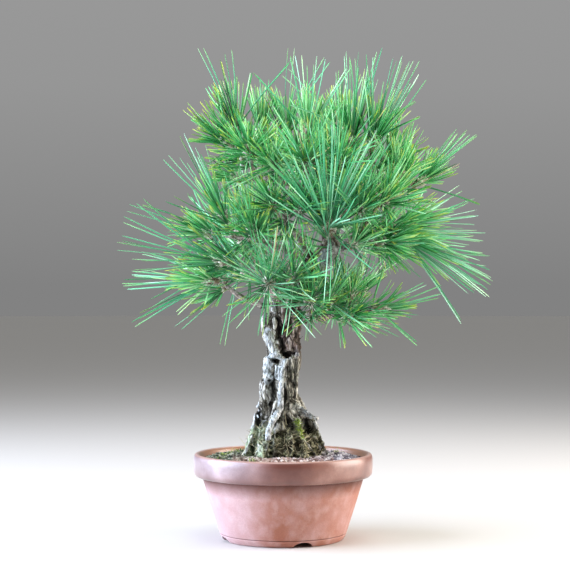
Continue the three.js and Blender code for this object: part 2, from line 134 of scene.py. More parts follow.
def write_points(piece, points):
    piece.data.vertices.foreach_set("co", points.ravel())
    piece.data.update()


def paint(piece, **layers):
    """Stores numbers on the vertices, which a material reads by the name of their layer."""
    for name, values in layers.items():
        layer = piece.data.attributes.new(name, "FLOAT", "POINT")
        layer.data.foreach_set("value", np.asarray(values, dtype=np.float32))


def all_selected(piece):
    """Opens the piece in edit mode with everything selected."""
    pick(piece)
    bpy.ops.object.mode_set(mode="EDIT")
    bpy.ops.mesh.select_all(action="SELECT")


def triangle_count(piece):
    return sum(len(polygon.vertices) - 2 for polygon in piece.data.polygons)


# %% [markdown]
# A material is a tree of nodes. One function adds a node and gives back its output, so that the next node
# can be built on it. Values fill the node's sockets from the top, as its panel shows them, or by name.
# Colours are sRGB hex codes, as a colour picker shows them, turned to the linear values that shaders need.

# %% Helpers for materials
BLEND = {"data_type": "RGBA"}
MULTIPLY = {"data_type": "RGBA", "blend_type": "MULTIPLY"}


def hex_colour(code):
    """An sRGB hex code as linear red, green, blue and alpha."""
    channels = [int(code[start:start + 2], 16) / 255 for start in (1, 3, 5)]
    linear = [c / 12.92 if c <= 0.04045 else ((c + 0.055) / 1.055) ** 2.4 for c in channels]
    return (*linear, 1.0)


def fill(node, *values, **named):
    """Gives sockets their values: a hex code is a colour, and another node's output becomes a link."""
    from_top = zip([socket for socket in node.inputs if socket.enabled], values)
    by_name = [(node.inputs[name.replace("_", " ")], value) for name, value in named.items()]
    for socket, value in (*from_top, *by_name):
        if isinstance(value, bpy.types.NodeSocket):
            node.id_data.links.new(value, socket)
        else:
            socket.default_value = hex_colour(value) if isinstance(value, str) else value


def add_node(tree, kind, *values, output=None, stops=None, **named):
    """Adds a node and gives an output, the first in use if none is named. Lower case names are settings."""
    node = tree.nodes.new("ShaderNode" + kind)
    for name in filter(str.islower, tuple(named)):
        setattr(node, name, named.pop(name))
    if stops:
        elements = node.color_ramp.elements
        while len(elements) < len(stops):
            elements.new(0.5)
        for element, (spot, code) in zip(elements, stops.items()):
            element.position, element.color = spot, hex_colour(code)
    fill(node, *values, **named)
    return node.outputs[output] if output else next(socket for socket in node.outputs if socket.enabled)


def new_material(name, **shader_values):
    """A material, its Principled shader with the values given, and a function that adds to its tree."""
    material = bpy.data.materials.new(name)
    material.use_nodes = True
    shader = material.node_tree.nodes["Principled BSDF"]
    fill(shader, **shader_values)
    return material, shader, partial(add_node, material.node_tree)


# %% [markdown]
# The camera comes first. The photograph was taken from straight in front, level, a little over one and a
# half metres away: the rim shows as a thin ellipse, and the underside of the collar can't be seen. The lens
# follows from how much of the world the picture shows at the pot's axis.

# %% Camera
CAMERA_DISTANCE = 1650
CAMERA_HEIGHT = 255
CAMERA_SIDE = 1.86
WIDTH_SEEN = 572.9
SENSOR_WIDTH = 36

camera_data = bpy.data.cameras.new("camera")
camera_data.sensor_width = SENSOR_WIDTH
camera_data.lens = SENSOR_WIDTH * CAMERA_DISTANCE / WIDTH_SEEN
camera = bpy.data.objects.new("camera", camera_data)
camera.location = place(CAMERA_SIDE, -CAMERA_DISTANCE, CAMERA_HEIGHT)
camera.rotation_euler = (math.radians(90), 0, 0)
bpy.context.scene.collection.objects.link(camera)
bpy.context.scene.camera = camera
print("lens:", round(camera_data.lens, 1), "mm")

# %% [markdown]
# The stage is a plain pale floor under soft light. A large area light square to the left is the key, and a
# weaker one stands opposite. On the photographed pot both edges are bright and the middle is dark, which is
# what two such side lights do to a round thing. A third from above and behind lights the needles' tips, and
# a fourth from above and in front the middle of the crown, which shades the pot from it.

# %% Floor, sky and lights
FLOOR_RADIUS = 12
LIGHTS_FACE = place(0, 0, 200)
bpy.ops.mesh.primitive_circle_add(vertices=96, radius=FLOOR_RADIUS, fill_type="NGON")
floor = bpy.context.object
floor.name = "floor"
floor.data.materials.append(new_material("pale_floor", Roughness=0.7, Base_Color="#C3C1BD")[0])
floor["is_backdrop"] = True

world = bpy.data.worlds.new("soft_sky")
world.use_nodes = True
bpy.context.scene.world = world
add = partial(add_node, world.node_tree)
height = add("SeparateXYZ", add("TexCoord", output="Generated"), output="Z")
sky = add("ValToRGB", height, stops={0: "#828282", 0.12: "#969696", 0.5: "#A6A6A6", 1: "#B2B2B2"})
fill(world.node_tree.nodes["Background"], Color=sky, Strength=1)


def softbox(name, spot, width, watts, code):
    """A square area light at a place in mm, which faces the middle of the tree."""
    light = bpy.data.lights.new(name, "AREA")
    light.size = width * MM
    light.energy = watts
    light.color = hex_colour(code)[:3]
    holder = bpy.data.objects.new(name, light)
    holder.location = place(*spot)
    holder.rotation_euler = (LIGHTS_FACE - holder.location).to_track_quat("-Z", "Y").to_euler()
    holder.visible_camera = False
    bpy.context.scene.collection.objects.link(holder)


softbox("key_left", (-1290, -200, 620), 1500, 72, "#DCE7FF")
softbox("fill_right", (1300, 60, 520), 1100, 34, "#FFF4EA")
softbox("rim_above", (150, 800, 1400), 800, 7, "#FFFFFF")
softbox("front_above", (40, -560, 1450), 700, 10.5, "#FFFFFF")
bpy.context.scene.view_settings.view_transform = "Standard"
print("lights:", bpy.data.lights.keys())

# %% [markdown]
# ## The pot
# The real pot is pressed or thrown from red clay, so it is round about its axis: a tapered wall, a thick
# collar, and a foot ring under a raised floor. A lathe is the natural tool. The outline of the wall is drawn
# once, as a closed line of corners, and edit mode's spin turns it round the axis. Each corner has its own
# rounding in millimetres, because fired clay has no sharp edges.

# %% Outline of the pot's wall
MOST_ROUNDING = 0.45  # of an edge's length, so that two roundings never meet


def rounded(corners, steps=4):
    """A closed outline from (radius, height, rounding) corners, with each corner rounded off."""
    points = []
    for index, (*corner, rounding) in enumerate(corners):
        corner, before, after = (
            Vector(spot[:2]) for spot in (corner, corners[index - 1], corners[(index + 1) % len(corners)]))
        start, end = (
            corner + (other - corner).normalized() * min(rounding, (other - corner).length * MOST_ROUNDING)
            for other in (before, after))
        for step in range(steps + 1):
            share = step / steps
            points.append((1 - share) ** 2 * start + 2 * share * (1 - share) * corner + share ** 2 * end)
    return points


COLLAR_FOOT = 63.2
GROOVE_HEIGHT = 7
SPIN_STEPS = 120
SAME_SPOT = 0.01 * MM
wall_corners = [
    (13, 14, 0.8), (13, 6, 0.8), (48, 6, 1.5), (48.5, 0, 1.2), (59.5, 0, 2), (62, 3.2, 2),
    (63.5, 6.3, 0.2), (62.9, GROOVE_HEIGHT, 0.2), (63.9, 7.7, 0.2), (75.4, 43.7, 4), (81.4, 63.8, 0.4),
    (86.8, 63.4, 2), (89.4, 66.4, 2.6), (90, 81, 4), (88.9, 85.4, 1.8), (86.4, 86.5, 1.2), (83.8, 85.2, 1.6),
    (81, 80, 2.5), (73.4, 58, 5), (59, 18, 3), (54, 14, 3),
]
outline = [place(radius, 0, level) for radius, level in rounded(wall_corners)]
pot = new_piece("clay_pot", outline, [(index, (index + 1) % len(outline)) for index in range(len(outline))])
all_selected(pot)
bpy.ops.mesh.spin(steps=SPIN_STEPS, angle=math.tau, center=pot_axis, axis=UP)
bpy.ops.mesh.select_all(action="SELECT")
bpy.ops.mesh.remove_doubles(threshold=SAME_SPOT)
bpy.ops.mesh.normals_make_consistent(inside=False)
bpy.ops.object.mode_set(mode="OBJECT")
print("pot wall:", triangle_count(pot), "triangles")

# %% [markdown]
# Four low arches are cut through the foot ring, so that water can run out. Each cutter is a cylinder that
# lies along a spoke, flattened to a half ellipse, and a Boolean takes it out of the wall. A small bevel then
# softens the cut edges. Its angle limit leaves the rounded corners of the outline alone.

# %% Drain notches
NOTCH_BEARINGS = (19, 109, 199, 289)
NOTCH_WIDTH = 20
NOTCH_HEIGHT = 5.3
RING_RADIUS = 56
CUTTER_LENGTH = 30
BEVEL_WIDTH = 0.6
SHARP_FROM = math.radians(35)
for bearing in NOTCH_BEARINGS:
    spoke = math.radians(bearing)
    bpy.ops.mesh.primitive_cylinder_add(
        vertices=40, radius=NOTCH_WIDTH / 2 * MM, depth=CUTTER_LENGTH * MM,
        location=place(RING_RADIUS * math.sin(spoke), -RING_RADIUS * math.cos(spoke), 0),
        rotation=(math.radians(90), 0, spoke))
    cutter = bpy.context.object
    cutter.scale = (1, NOTCH_HEIGHT / (NOTCH_WIDTH / 2), 1)
    modify(pot, "BOOLEAN", object=cutter, operation="DIFFERENCE", solver="EXACT")
    bpy.data.objects.remove(cutter)
modify(pot, "BEVEL", width=BEVEL_WIDTH * MM, segments=2, limit_method="ANGLE", angle_limit=math.radians(50))
pick(pot)
bpy.ops.object.shade_smooth_by_angle(angle=SHARP_FROM)
print("pot with notches:", triangle_count(pot), "triangles")

# %% [markdown]
# The material is unglazed terracotta, fired red clay. Its body is an even pale pink, a little warmer in some
# places, with a faint dust of lime in streaks where water ran down. The collar is browner, from wet soil
# behind it, and so smooth that the lamps at the sides show on it as a sheen. The zones depend on where a
# point is on the wall, so they are painted on the vertices.

# %% Zones of the pot
pot_x, pot_y, pot_z = from_pot_axis(pot).T
pot_radius = np.hypot(pot_x, pot_y)
inner_radius = np.interp(pot_z, [14, 18, 58, 80, 86.5], [54, 59, 73.4, 81, 83.5])
# a dark line under the collar and in the groove near the foot: painted shade in these creases, with some dirt
# under the collar
seam = np.exp(-(pot_z - COLLAR_FOOT) ** 2) * (pot_radius < 83)
groove_shade = np.exp(-((pot_z - GROOVE_HEIGHT) / 0.25) ** 2) * (pot_radius > 61)
# a pale tint on the left, heaviest near the top of the collar: partly a bloom of lime, partly a painted sheen
# on the side of the key light
bloom = np.clip((-8 - pot_x) / 62, 0, 1) * np.interp(
    pot_z, [0, 40, 62, 63, 68, 77, 84, 85.5], [0.75, 0.6, 0.5, 0.35, 0.5, 1, 1, 0.3])
# the rounded top of the collar is painted paler, as a highlight
paint(
    pot, inside=(pot_radius < inner_radius + 1.5) & (pot_z > 10), seam=np.maximum(seam, groove_shade),
    lip=np.clip((pot_z - 84.6) / 1.2, 0, 1) * 0.8, bloom=bloom)
print("lime on", round(100 * float((bloom > 0.1).mean())), "% of the pot's vertices")


# %% Terracotta
def clay_noise(add):
    """Clouds about 40 mm across, blots of lime that run down a little, and specks of grog."""
    spot = add("TexCoord", output="Object")
    run_down = add("Mapping", spot, Scale=(1, 1, 0.7))
    return add("TexNoise", spot, 26, 6), add("TexNoise", run_down, 95, 8), add("TexNoise", spot, 900, 2)


def finish_clay(add, shader, colour, grog, streaks):
    """Specks in the colour and a light relief, then the links to the shader."""
    speckled = add("Mix", 1, colour, add("MapRange", grog, 0.3, 0.7, 0.9, 1.06), **MULTIPLY)
    grain = add("Bump", Strength=0.25, Distance=0.4 * MM, Height=grog)
    waves = add("Bump", Strength=0.3, Distance=1.2 * MM, Height=streaks, Normal=grain)
    fill(shader, Base_Color=speckled, Normal=waves)


def make_body_clay():
    # dry pressed clay, fired without a glaze: matt, with a little dust of lime, and on the left a pale tint
    # that is partly lime and partly painted sheen
    material, shader, add = new_material("unglazed_terracotta", Roughness=0.62, IOR=1.5)
    seam, bloom = (add("Attribute", attribute_name=name, output="Fac") for name in ("seam", "bloom"))
    clouds, streaks, grog = clay_noise(add)
    clay = add("ValToRGB", clouds, stops={0.36: "#A0634D", 0.46: "#AA7260", 0.55: "#B07E72", 0.66: "#B98D86"})
    clay = add("Mix", add("MapRange", streaks, 0.45, 0.75, 0, 0.36), clay, "#D8BDBB", **BLEND)
    # on the left, a pale tint: partly lime, partly painted sheen
    clay = add("Mix", bloom, clay, "#CDB9C2", **BLEND)
    # the dark line under the collar and in the groove: painted shade, with some dirt
    finish_clay(add, shader, add("Mix", seam, clay, "#7A5548", **MULTIPLY), grog, streaks)
    return material


def make_collar_clay():
    # the same clay, rubbed smooth while wet and darkened by the damp soil behind it, so it has a satin skin
    material, shader, add = new_material(
        "smoothed_collar_clay", Roughness=0.42, IOR=1.5, Coat_Weight=0.85, Coat_Roughness=0.28, Coat_IOR=1.6)
    inside, lip, bloom = (
        add("Attribute", attribute_name=name, output="Fac") for name in ("inside", "lip", "bloom"))
    clouds, streaks, grog = clay_noise(add)
    clay = add("ValToRGB", clouds, stops={0.36: "#602B1D", 0.46: "#6F3D31", 0.56: "#804F41", 0.68: "#9E7367"})
    # the pale tint on the left: partly a bloom of lime, partly painted sheen
    bloom_share = add("Math", clouds, 1.4, -0.25, operation="MULTIPLY_ADD")
    bloom_share = add("Math", bloom_share, bloom, operation="MULTIPLY", use_clamp=True)
    clay = add("Mix", bloom_share, clay, "#D3CCD8", **BLEND)
    # the lip is paler than the face of the collar, where fingers and water have worn it
    # the rounded top of the collar is painted paler than its face: a painted highlight
    clay = add("Mix", lip, clay, "#B48C80", **BLEND)
    finish_clay(add, shader, add("Mix", inside, clay, "#9A6038", **BLEND), grog, streaks)
    return material


FLOOR_TOP = 13
pot.data.materials.append(make_body_clay())
pot.data.materials.append(make_collar_clay())
for face in pot.data.polygons:
    outward = (face.center - pot_axis).normalized()
    level = face.center.z / MM
    faces_in = face.normal.x * outward.x + face.normal.y * outward.y < -0.1
    face.material_index = int(level > COLLAR_FOOT - 0.5 or (faces_in and level > FLOOR_TOP))
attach(pot, "root")
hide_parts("pot")
print("pot:", pot.data.materials.keys())

# %% [markdown]
# ## The wood
# Trunk, roots and branches grew as one piece, so they stay one mesh. The CAD solid has the right form with
# few sides. Bark could be painted on it, but its outline would stay angular, so the form itself is made
# finer. First a merged copy is cut level inside the soil, because the root ball below needs no detail.
# A search tree over its faces then tells where its surface is, seen from the front or the back.

# %% A copy of the CAD wood, cut in the soil
SKIN_FROM = 73
OUTSIDE = 120  # farther from the axis than the trunk's surface
NEAR_AXIS = 12
FRONT, BACK = -1, 1
wood_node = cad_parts["trunk_and_branches"]


def wood_copy(name, keep_above):
    """A merged copy of the CAD wood, cut level inside the soil, with the part above or below kept."""
    piece = new_piece(name, [])
    piece.data = wood_node.data.copy()
    piece.data.materials.clear()
    all_selected(piece)
    bpy.ops.mesh.remove_doubles(threshold=SAME_SPOT / 2)
    bpy.ops.mesh.select_all(action="SELECT")
    bpy.ops.mesh.bisect(
        plane_co=place(0, 0, SKIN_FROM), plane_no=UP, use_fill=True, clear_inner=keep_above,
        clear_outer=not keep_above)
    bpy.ops.object.mode_set(mode="OBJECT")
    return piece


root_ball = wood_copy("root_ball", keep_above=False)
wood = wood_copy("wood_and_bark", keep_above=True)
plain_faces = [tuple(face.vertices) for face in wood.data.polygons]
plain_tree = BVHTree.FromPolygons([Vector(spot) for spot in read_points(wood)], plain_faces)


def surface(x, z, side):
    """The wood's outermost point at a width and height in mm, seen from the front or the back."""
    spot = plain_tree.ray_cast(place(x, side * OUTSIDE, z), Vector((0, -side, 0)))[0]
    if spot is None:
        spot = plain_tree.find_nearest(place(x, side * NEAR_AXIS, z))[0]
    return (spot - pot_axis) / MM


print("cut wood:", triangle_count(wood), "and", triangle_count(root_ball), "triangles")

# %% [markdown]
# The photograph shows single strands of root and bark, which part and meet again. Each is a tube along a
# short smooth curve. A row gives its places as width and height in mm from the pot's axis, its two radii,
# how far its middle stands out from the plain surface, and how weathered it is. The tree search puts it on
# the surface, so that no depth has to be guessed. Voxel remeshing melts tubes and trunk into one skin.

# %% Strands of root and bark
def strand(points, radii):
    """A tube through points in mm from the pot's axis, from the first radius to the second."""
    curve = bpy.data.curves.new("strand", "CURVE")
    curve.dimensions = "3D"
    curve.bevel_depth = MM
    curve.bevel_resolution = 3
    curve.use_fill_caps = True
    line = curve.splines.new("NURBS")
    line.points.add(len(points) - 1)
    for index, spot in enumerate(points):
        line.points[index].co = (*place(*spot), 1)
        line.points[index].radius = radii[0] + (radii[1] - radii[0]) * (index / (len(points) - 1))
    line.use_endpoint_u = True
    line.order_u = 3
    holder = bpy.data.objects.new("strand", curve)
    bpy.context.scene.collection.objects.link(holder)
    pick(holder)
    bpy.ops.object.convert(target="MESH")
    return holder


front_strands = [
    # the pale front root: out of the cleft, down the middle, then to the left into the moss
    (((5, 183), (1, 178), (0, 172), (-1, 164), (-2, 156), (-2, 146), (-2, 138), (-3, 132)),
     (2, 2.9), 2.8, 1),
    (((-2, 137), (-3, 132), (-7, 126), (-11, 120), (-14, 113), (-15, 106)), (2.9, 3.4), 2.8, 0.85),
    (((-15, 107), (-15, 98), (-16, 87)), (3, 2.2), 1.4, 0.25),
    # the left ridge: a lump at its top, the lens above the knot hole, and the part below the hole
    (((-17.5, 223), (-16.5, 214)), (3.4, 3.6), 1.4, 0.3),
    (((-16, 209), (-14, 202), (-11.5, 194), (-8, 187.5), (-6, 184.5)), (4, 4.6), 2.8, 0.62),
    (((-13, 182), (-15.5, 175), (-16, 168), (-15, 161)), (4.4, 4.6), 1.2, 1),
    # thin strands between the ridge and the root
    (((-7.5, 175), (-7.5, 161)), (1.2, 1.1), 1.2, 0.9),
    (((-4.4, 174), (-4.8, 162)), (1.1, 1), 1.4, 0.9),
    (((3, 177), (3.2, 166), (1.8, 152)), (1.3, 1.2), 0.8, 0.6),
    # the lower left ridge, and the thin root that loops away from it
    (((-18, 159), (-17, 151), (-19.5, 144), (-21.5, 138), (-21, 130)), (3.8, 3.4), 1, 0.25),
    (((-20, 139), (-24, 137), (-27.5, 134), (-29.5, 129), (-29, 124), (-32, 119), (-34, 114), (-33, 110),
     (-30.5, 105), (-31, 98)), (1.5, 1.3), 1.2, 0.55),
    # thin roots that cross the foot on the left
    (((-18, 121), (-21, 117), (-25, 111), (-27, 107), (-31, 100), (-34, 93), (-38, 87)),
     (1, 1.3), 1.3, 0.5),
    (((-30, 106), (-34, 98), (-37, 91), (-41, 86)), (1.2, 1.1), 1.2, 0.45),
    (((-34, 105), (-38, 98), (-42, 91), (-45, 86)), (1.1, 1.1), 0.8, 0.4),
    (((-22, 128), (-24, 118), (-22, 110), (-25, 102), (-24, 93), (-27, 86)), (2.2, 1.8), 1, 0.35),
    (((-19, 112), (-21, 103), (-19, 95), (-21, 86)), (1.8, 1.6), 1, 0.2),
    (((-27, 123), (-29, 113), (-27, 105)), (1.6, 1.4), 0.8, 0.4),
    (((-8, 112), (-9, 102), (-8, 92), (-10, 86)), (1.8, 2), 1, 0.4),
    # a lump on the right root
    (((18, 129.5), (19.5, 127)), (2.9, 2.8), 2.2, 0.6),
    # roots that show through the moss on the right of the foot
    (((20, 104), (24, 98), (29, 91), (33, 86)), (1.5, 1.3), 1.4, 0.5),
    (((32, 104), (35, 98), (37, 92)), (1.5, 1.4), 1.2, 0.5),
    (((8, 106), (11, 99), (10, 92)), (1.8, 1.6), 1.2, 0.3),
    # brown cords down the right of the trunk
    (((5.5, 181), (5, 169), (5.5, 151), (3.5, 136)), (1.7, 1.5), 0.6, 0),
    (((9, 182), (10, 166), (8.5, 153), (7, 138), (6, 126)), (1.8, 1.5), 0.8, 0.1),
    (((13.5, 182), (14.5, 166), (13, 151), (11, 140)), (2, 1.6), 0.6, 0),
    (((9.5, 152.5), (9.6, 146)), (2.6, 2.5), 1.2, 0.15),
    (((14, 197), (15.5, 190), (14.8, 184)), (2.8, 3), 1, 0.2),
    (((0.5, 197), (4.5, 190.5), (8.5, 188)), (1.4, 1.3), 0.6, 0),
    (((2.5, 204), (4.8, 196), (7.8, 191)), (1.4, 1.3), 0.8, 0),
    (((6.5, 207), (9.8, 198), (13.5, 191)), (2.2, 2.2), 0.8, 0),
]
# ridges on the back, which the photograph doesn't show
back_strands = [
    (((-12, 214), (-14, 196), (-11, 178), (-16, 158), (-17, 140), (-24, 122), (-30, 100)),
     (4, 3.6), 1.6, 0.7),
    (((10, 220), (11, 200), (5, 182), (6, 162), (10, 144), (16, 128), (22, 104)), (3.8, 4.2), 1.8, 0.6),
    (((-2, 190), (-4, 168), (-3, 148), (-6, 130), (-6, 108)), (2.6, 3), 1, 0.1),
    (((2, 214), (0, 198), (2, 186)), (2.2, 2), 0.8, 0),
]
# strands that leave the surface, with all three places given
free_strands = [
    # the right root and its stub
    (((9, -13, 139), (16, -17, 133), (22, -19, 128.5), (28, -20, 124.5), (35, -20, 122)), (3.4, 2.3), 0.3),
    # the strand at the right edge of the foot, below the stub
    (((31, -14, 121), (34, -14, 113), (37, -13, 105), (40, -12, 98), (42.5, -12, 91), (44, -12, 84)),
     (1.4, 1.6), 0.45),
    # the knob where the trunk turns over to the right
    (((38, -6, 276), (45, -12, 284), (52, -10, 290)), (7, 5), 0.9),
    # the flaky knob under the central fan, and its spur
    (((44, -26, 279), (50, -34, 285), (47, -40, 293)), (4.4, 5.4), 0.9),
    (((50, -32, 289), (57, -31, 291), (62, -29, 292)), (3.4, 2.4), 0.8),
    # a flake of bark that stands off at the right
    (((13, -6, 195), (16.5, -7, 199.5), (20, -7, 204.5)), (1.6, 0.8), 0.3),
    # lumps under the lowest branches
    (((-12, -17, 243), (-11, -18, 238)), (3.6, 3.6), 0.5),
    (((-10, -19, 233), (-11, -19, 228)), (3.2, 3), 0.5),
]
lines = [
    ([tuple(surface(x, z, side) + Vector((0, side * stand_out, 0))) for x, z in path], radii, weathered)
    for side, rows in ((FRONT, front_strands), (BACK, back_strands))
    for path, radii, stand_out, weathered in rows
] + free_strands
tubes = [strand(points, radii) for points, radii, _ in lines]
pick(wood)
for tube in tubes:
    tube.select_set(True)
bpy.ops.object.join()

FIRST_SKIN = 1.0
modify(wood, "REMESH", mode="VOXEL", voxel_size=FIRST_SKIN * MM)
modify(wood, "SMOOTH", factor=0.5, iterations=2)
print("strands:", len(tubes), "first skin:", triangle_count(wood), "triangles")

# %% [markdown]
# Old pine trunks have hollows where the live strands have parted. Each one is a short line on the surface.
# A vertex group holds how near each vertex is to such a line, with steep walls and a flat bottom, and a
# Displace modifier without a texture pushes the group inwards. A second, finer remesh evens out the faces
# that this stretches.

# %% Hollows between the strands
# each hollow: the side it is seen from, its two ends as width and height in mm, its radius in mm
hollows = [
    (FRONT, (-5.5, 221), (-3.5, 203), 2.4),
    (FRONT, (-3.5, 203), (0, 189), 2.8),
    (FRONT, (0.5, 188), (4, 185.5), 3),
    (FRONT, (8.5, 187), (10.5, 186.4), 1.5),
    (FRONT, (-9.5, 179.6), (-2.5, 177.4), 2.1),
    (FRONT, (-9.5, 157), (-10.5, 144), 3.6),
    (FRONT, (-9.5, 146), (-12.5, 136), 2.6),
    (FRONT, (-25, 130), (-24, 117), 2.6),
    (FRONT, (22.5, 119), (25.5, 111), 4.4),
    (FRONT, (5, 120), (10, 114), 2.8),
    (FRONT, (-31, 95), (-29, 88), 1.8),
    (FRONT, (-12, 159.5), (-20, 160), 1.2),
    (BACK, (-5, 205), (-7, 180), 3.4),
    (BACK, (1, 176), (1, 152), 3),
    (BACK, (-11, 150), (-12, 130), 3.6),
    (BACK, (6, 128), (8, 112), 4.6),
    (BACK, (-18, 112), (-20, 98), 4.2),
    (BACK, (20, 176), (17, 150), 3),
]
hollow_lines = [
    (surface(*start, side), surface(*end, side), radius) for side, start, end, radius in hollows]


def distance_to_line(points, start, end, flatness=1.0):
    """How far each point in mm is from the line between two places, with depth counted by the flatness."""
    squash = np.array((1, flatness, 1))
    points, start, end = points * squash, np.array(start) * squash, np.array(end) * squash
    along = end - start
    share = np.clip((points - start) @ along / (along @ along), 0, 1)
    return np.linalg.norm(points - start - share[:, None] * along, axis=1)


def nearness(points, rows, flatness, reach):
    """How near each point is to the nearest of some lines: 1 on it, 0 beyond its radius times the reach."""
    near = np.zeros(len(points))
    for start, end, radius in rows:
        gap = distance_to_line(points, start, end, flatness)
        near = np.maximum(near, np.clip(reach - gap / radius, 0, 1))
    return near


LEAST_WEIGHT = 0.01


def group_of(piece, name, weights):
    """A vertex group that holds one weight for each vertex."""
    group = piece.vertex_groups.new(name=name)
    for index in np.flatnonzero(weights > LEAST_WEIGHT):
        group.add([int(index)], float(weights[index]), "REPLACE")
    return group.name


HOLLOW_DEPTH = 8.5
WALL_REACH = 1.35
STEEPNESS = 1.8
SECOND_SKIN = 0.82
first_mm = from_pot_axis(wood)
sunk = np.zeros(len(first_mm))
for start, end, radius in hollow_lines:
    wall = np.clip((WALL_REACH - distance_to_line(first_mm, start, end, 0.4) / radius) * STEEPNESS, 0, 1)
    sunk = np.maximum(sunk, wall * min(1, 2.2 * radius / HOLLOW_DEPTH))
modify(
    wood, "DISPLACE", strength=-HOLLOW_DEPTH * MM, mid_level=0, vertex_group=group_of(wood, "hollows", sunk))
modify(wood, "REMESH", mode="VOXEL", voxel_size=SECOND_SKIN * MM)
modify(wood, "SMOOTH", factor=0.5, iterations=1)
print("second skin:", triangle_count(wood), "triangles")

# %% [markdown]
# The thick, cracked bark is on the trunk and roots, and the branches have a thin one. So the branches can do
# with larger faces: a Decimate modifier merges them where its vertex group is strong, and leaves the trunk
# fine enough for the cracks.

# %% Fewer faces on the branches
# the trunk's axis and reach by height, to tell trunk from branches
trunk_line = np.array([
    (0, 0, 70, 46), (0, 0, 90, 48), (1, 0, 108, 44), (-4, 0, 134, 34), (-4, 0, 171, 27), (-1, 0, 199, 26),
    (0, -1, 236, 24), (20, 0, 262, 20), (46, -4, 290, 18), (42, 10, 330, 12), (36, 8, 356, 10),
    (52, 2, 388, 7),
])


def trunk_share(points):
    """1 on the trunk and roots, 0 on the branches, for points in mm from the pot's axis."""
    x, y, reach = (np.interp(points[:, 2], trunk_line[:, 2], trunk_line[:, column]) for column in (0, 1, 3))
    off_axis = np.linalg.norm(points[:, :2] - np.stack([x, y], axis=1), axis=1)
    return np.clip((1.35 - off_axis / reach) * 3, 0, 1)


MOST_TRIANGLES = 193000
second_mm = from_pot_axis(wood)
needs_detail = trunk_share(second_mm) * np.interp(second_mm[:, 2], [74, 84, 230, 300], [0.4, 1, 1, 0.4])
modify(
    wood, "DECIMATE", ratio=min(1.0, MOST_TRIANGLES / triangle_count(wood)), vertex_group_factor=6.0,
    vertex_group=group_of(wood, "merge", 1 - needs_detail))
print("after decimation:", triangle_count(wood), "triangles")

# %% [markdown]
# The bark isn't the same all over. The strands on the left have weathered almost white and are worn smooth,
# the right side is brown and deeply cracked, and moss covers the foot. Each zone is a number for each
# vertex, from how near it is to a strand or how high it is. These numbers are also kept for the material.

# %% Zones of the bark
smooth_points = read_points(wood)
smooth_normals = read_points(wood, "normal")
smooth_mm = from_pot_axis(wood)
wood_x, _, wood_z = smooth_mm.T
on_trunk = trunk_share(smooth_mm)
thick = on_trunk * np.interp(wood_z, [80, 240, 330], [1, 1, 0.4])

pale = np.zeros(len(smooth_mm))
for points, radii, weathered in lines:
    for index, (start, end) in enumerate(zip(points, points[1:])):
        radius = radii[0] + (radii[1] - radii[0]) * index / len(points)
        gap = distance_to_line(smooth_mm, start, end) - radius
        pale = np.maximum(pale, weathered * np.clip(1 - gap / (0.9 + 0.25 * radius), 0, 1))
# the whole left side of the trunk is painted a little paler too
left_side = np.clip((-8 - wood_x) / 8, 0, 1) * np.clip((wood_z - 100) / 30, 0, 1)
pale = np.maximum(pale, 0.26 * left_side * on_trunk)

MOSS_TOP = 121
UMBER_FROM = 178
edge_noise = np.array([noise.noise(Vector(spot) / 9) for spot in smooth_mm])
# bark that is still fresh and umber brown, high on the right
umber = np.clip((wood_z - UMBER_FROM) / 14, 0, 1) * np.clip((wood_x + 6 + 5 * edge_noise) / 6, 0, 1)
mossiness = np.clip((MOSS_TOP + 7 * edge_noise - 0.12 * wood_x - wood_z) / 12, 0, 1)
moss_share = mossiness * (1 - pale) ** 1.5

# how near each vertex is to a hollow, where the material paints shade, nearly black
in_hollow = nearness(smooth_mm, hollow_lines, flatness=0.3, reach=1.55)
# furrows that are too narrow for the skin's faces to dip into, so shade is painted in them: ends, half width
# in mm
furrows = [
    ((-9.3, 175), (-9.3, 163), 0.5), ((-6, 176), (-6.2, 162), 0.5),
    ((-2.9, 173), (-3.4, 160), 0.5), ((1.4, 175), (0.8, 160), 0.5),
    ((4.8, 184), (4.9, 168), 0.8), ((7.2, 181), (7.8, 160), 0.6),
    ((11.8, 181), (12.2, 160), 0.7), ((6, 150), (4.8, 132), 0.7),
    ((6, 143.6), (12.5, 143.2), 0.8), ((12.4, 156), (12, 144), 0.7),
    ((-4, 146.5), (0, 145.5), 0.4), ((-17, 148), (-14, 141), 0.6),
    # both edges of the pale root
    ((1.8, 157), (1.9, 139), 0.8), ((1.9, 139), (0.8, 131), 0.9),
    ((0.8, 131), (-3.4, 124.2), 0.9), ((-3.4, 124.2), (-7.4, 117.8), 0.9),
    ((-7.4, 117.8), (-10.6, 110), 0.9), ((-6.2, 138), (-7.6, 133), 0.7),
    ((-7.6, 133), (-11, 128.5), 0.8), ((-11, 128.5), (-14.8, 121.5), 0.9),
    ((-14.8, 121.5), (-18, 113), 0.9), ((-18, 113), (-19, 104), 0.9),
]
furrow_lines = [
    (surface(*start, FRONT), surface(*end, FRONT), half_width) for start, end, half_width in furrows]
in_furrow = nearness(smooth_mm, furrow_lines, flatness=0.25, reach=1.8)
print("weathered:", round(float(pale.mean()), 3), "mossy:", round(float(moss_share.mean()), 3))

# %% [markdown]
# Cracks are the last layer. Bark cracks into plates that are longer than they are wide, because the trunk
# thickens faster than it grows. Blender's noise library gives the shapes. A ridged fractal makes cords that
# run up the trunk, and Voronoi cells make the plates: where the second nearest cell is as far as the nearest,
# there is a border, and so a crack. Each plate is also tipped a little, so that one end stands proud. All
# are read at a place that a slower noise has shifted, so that nothing runs straight.

# %% Bark
def drawn_out(spot, width, height):
    """A place in noise whose clouds are so many mm wide and high."""
    return Vector((spot.x / width, spot.y / width, spot.z / height))


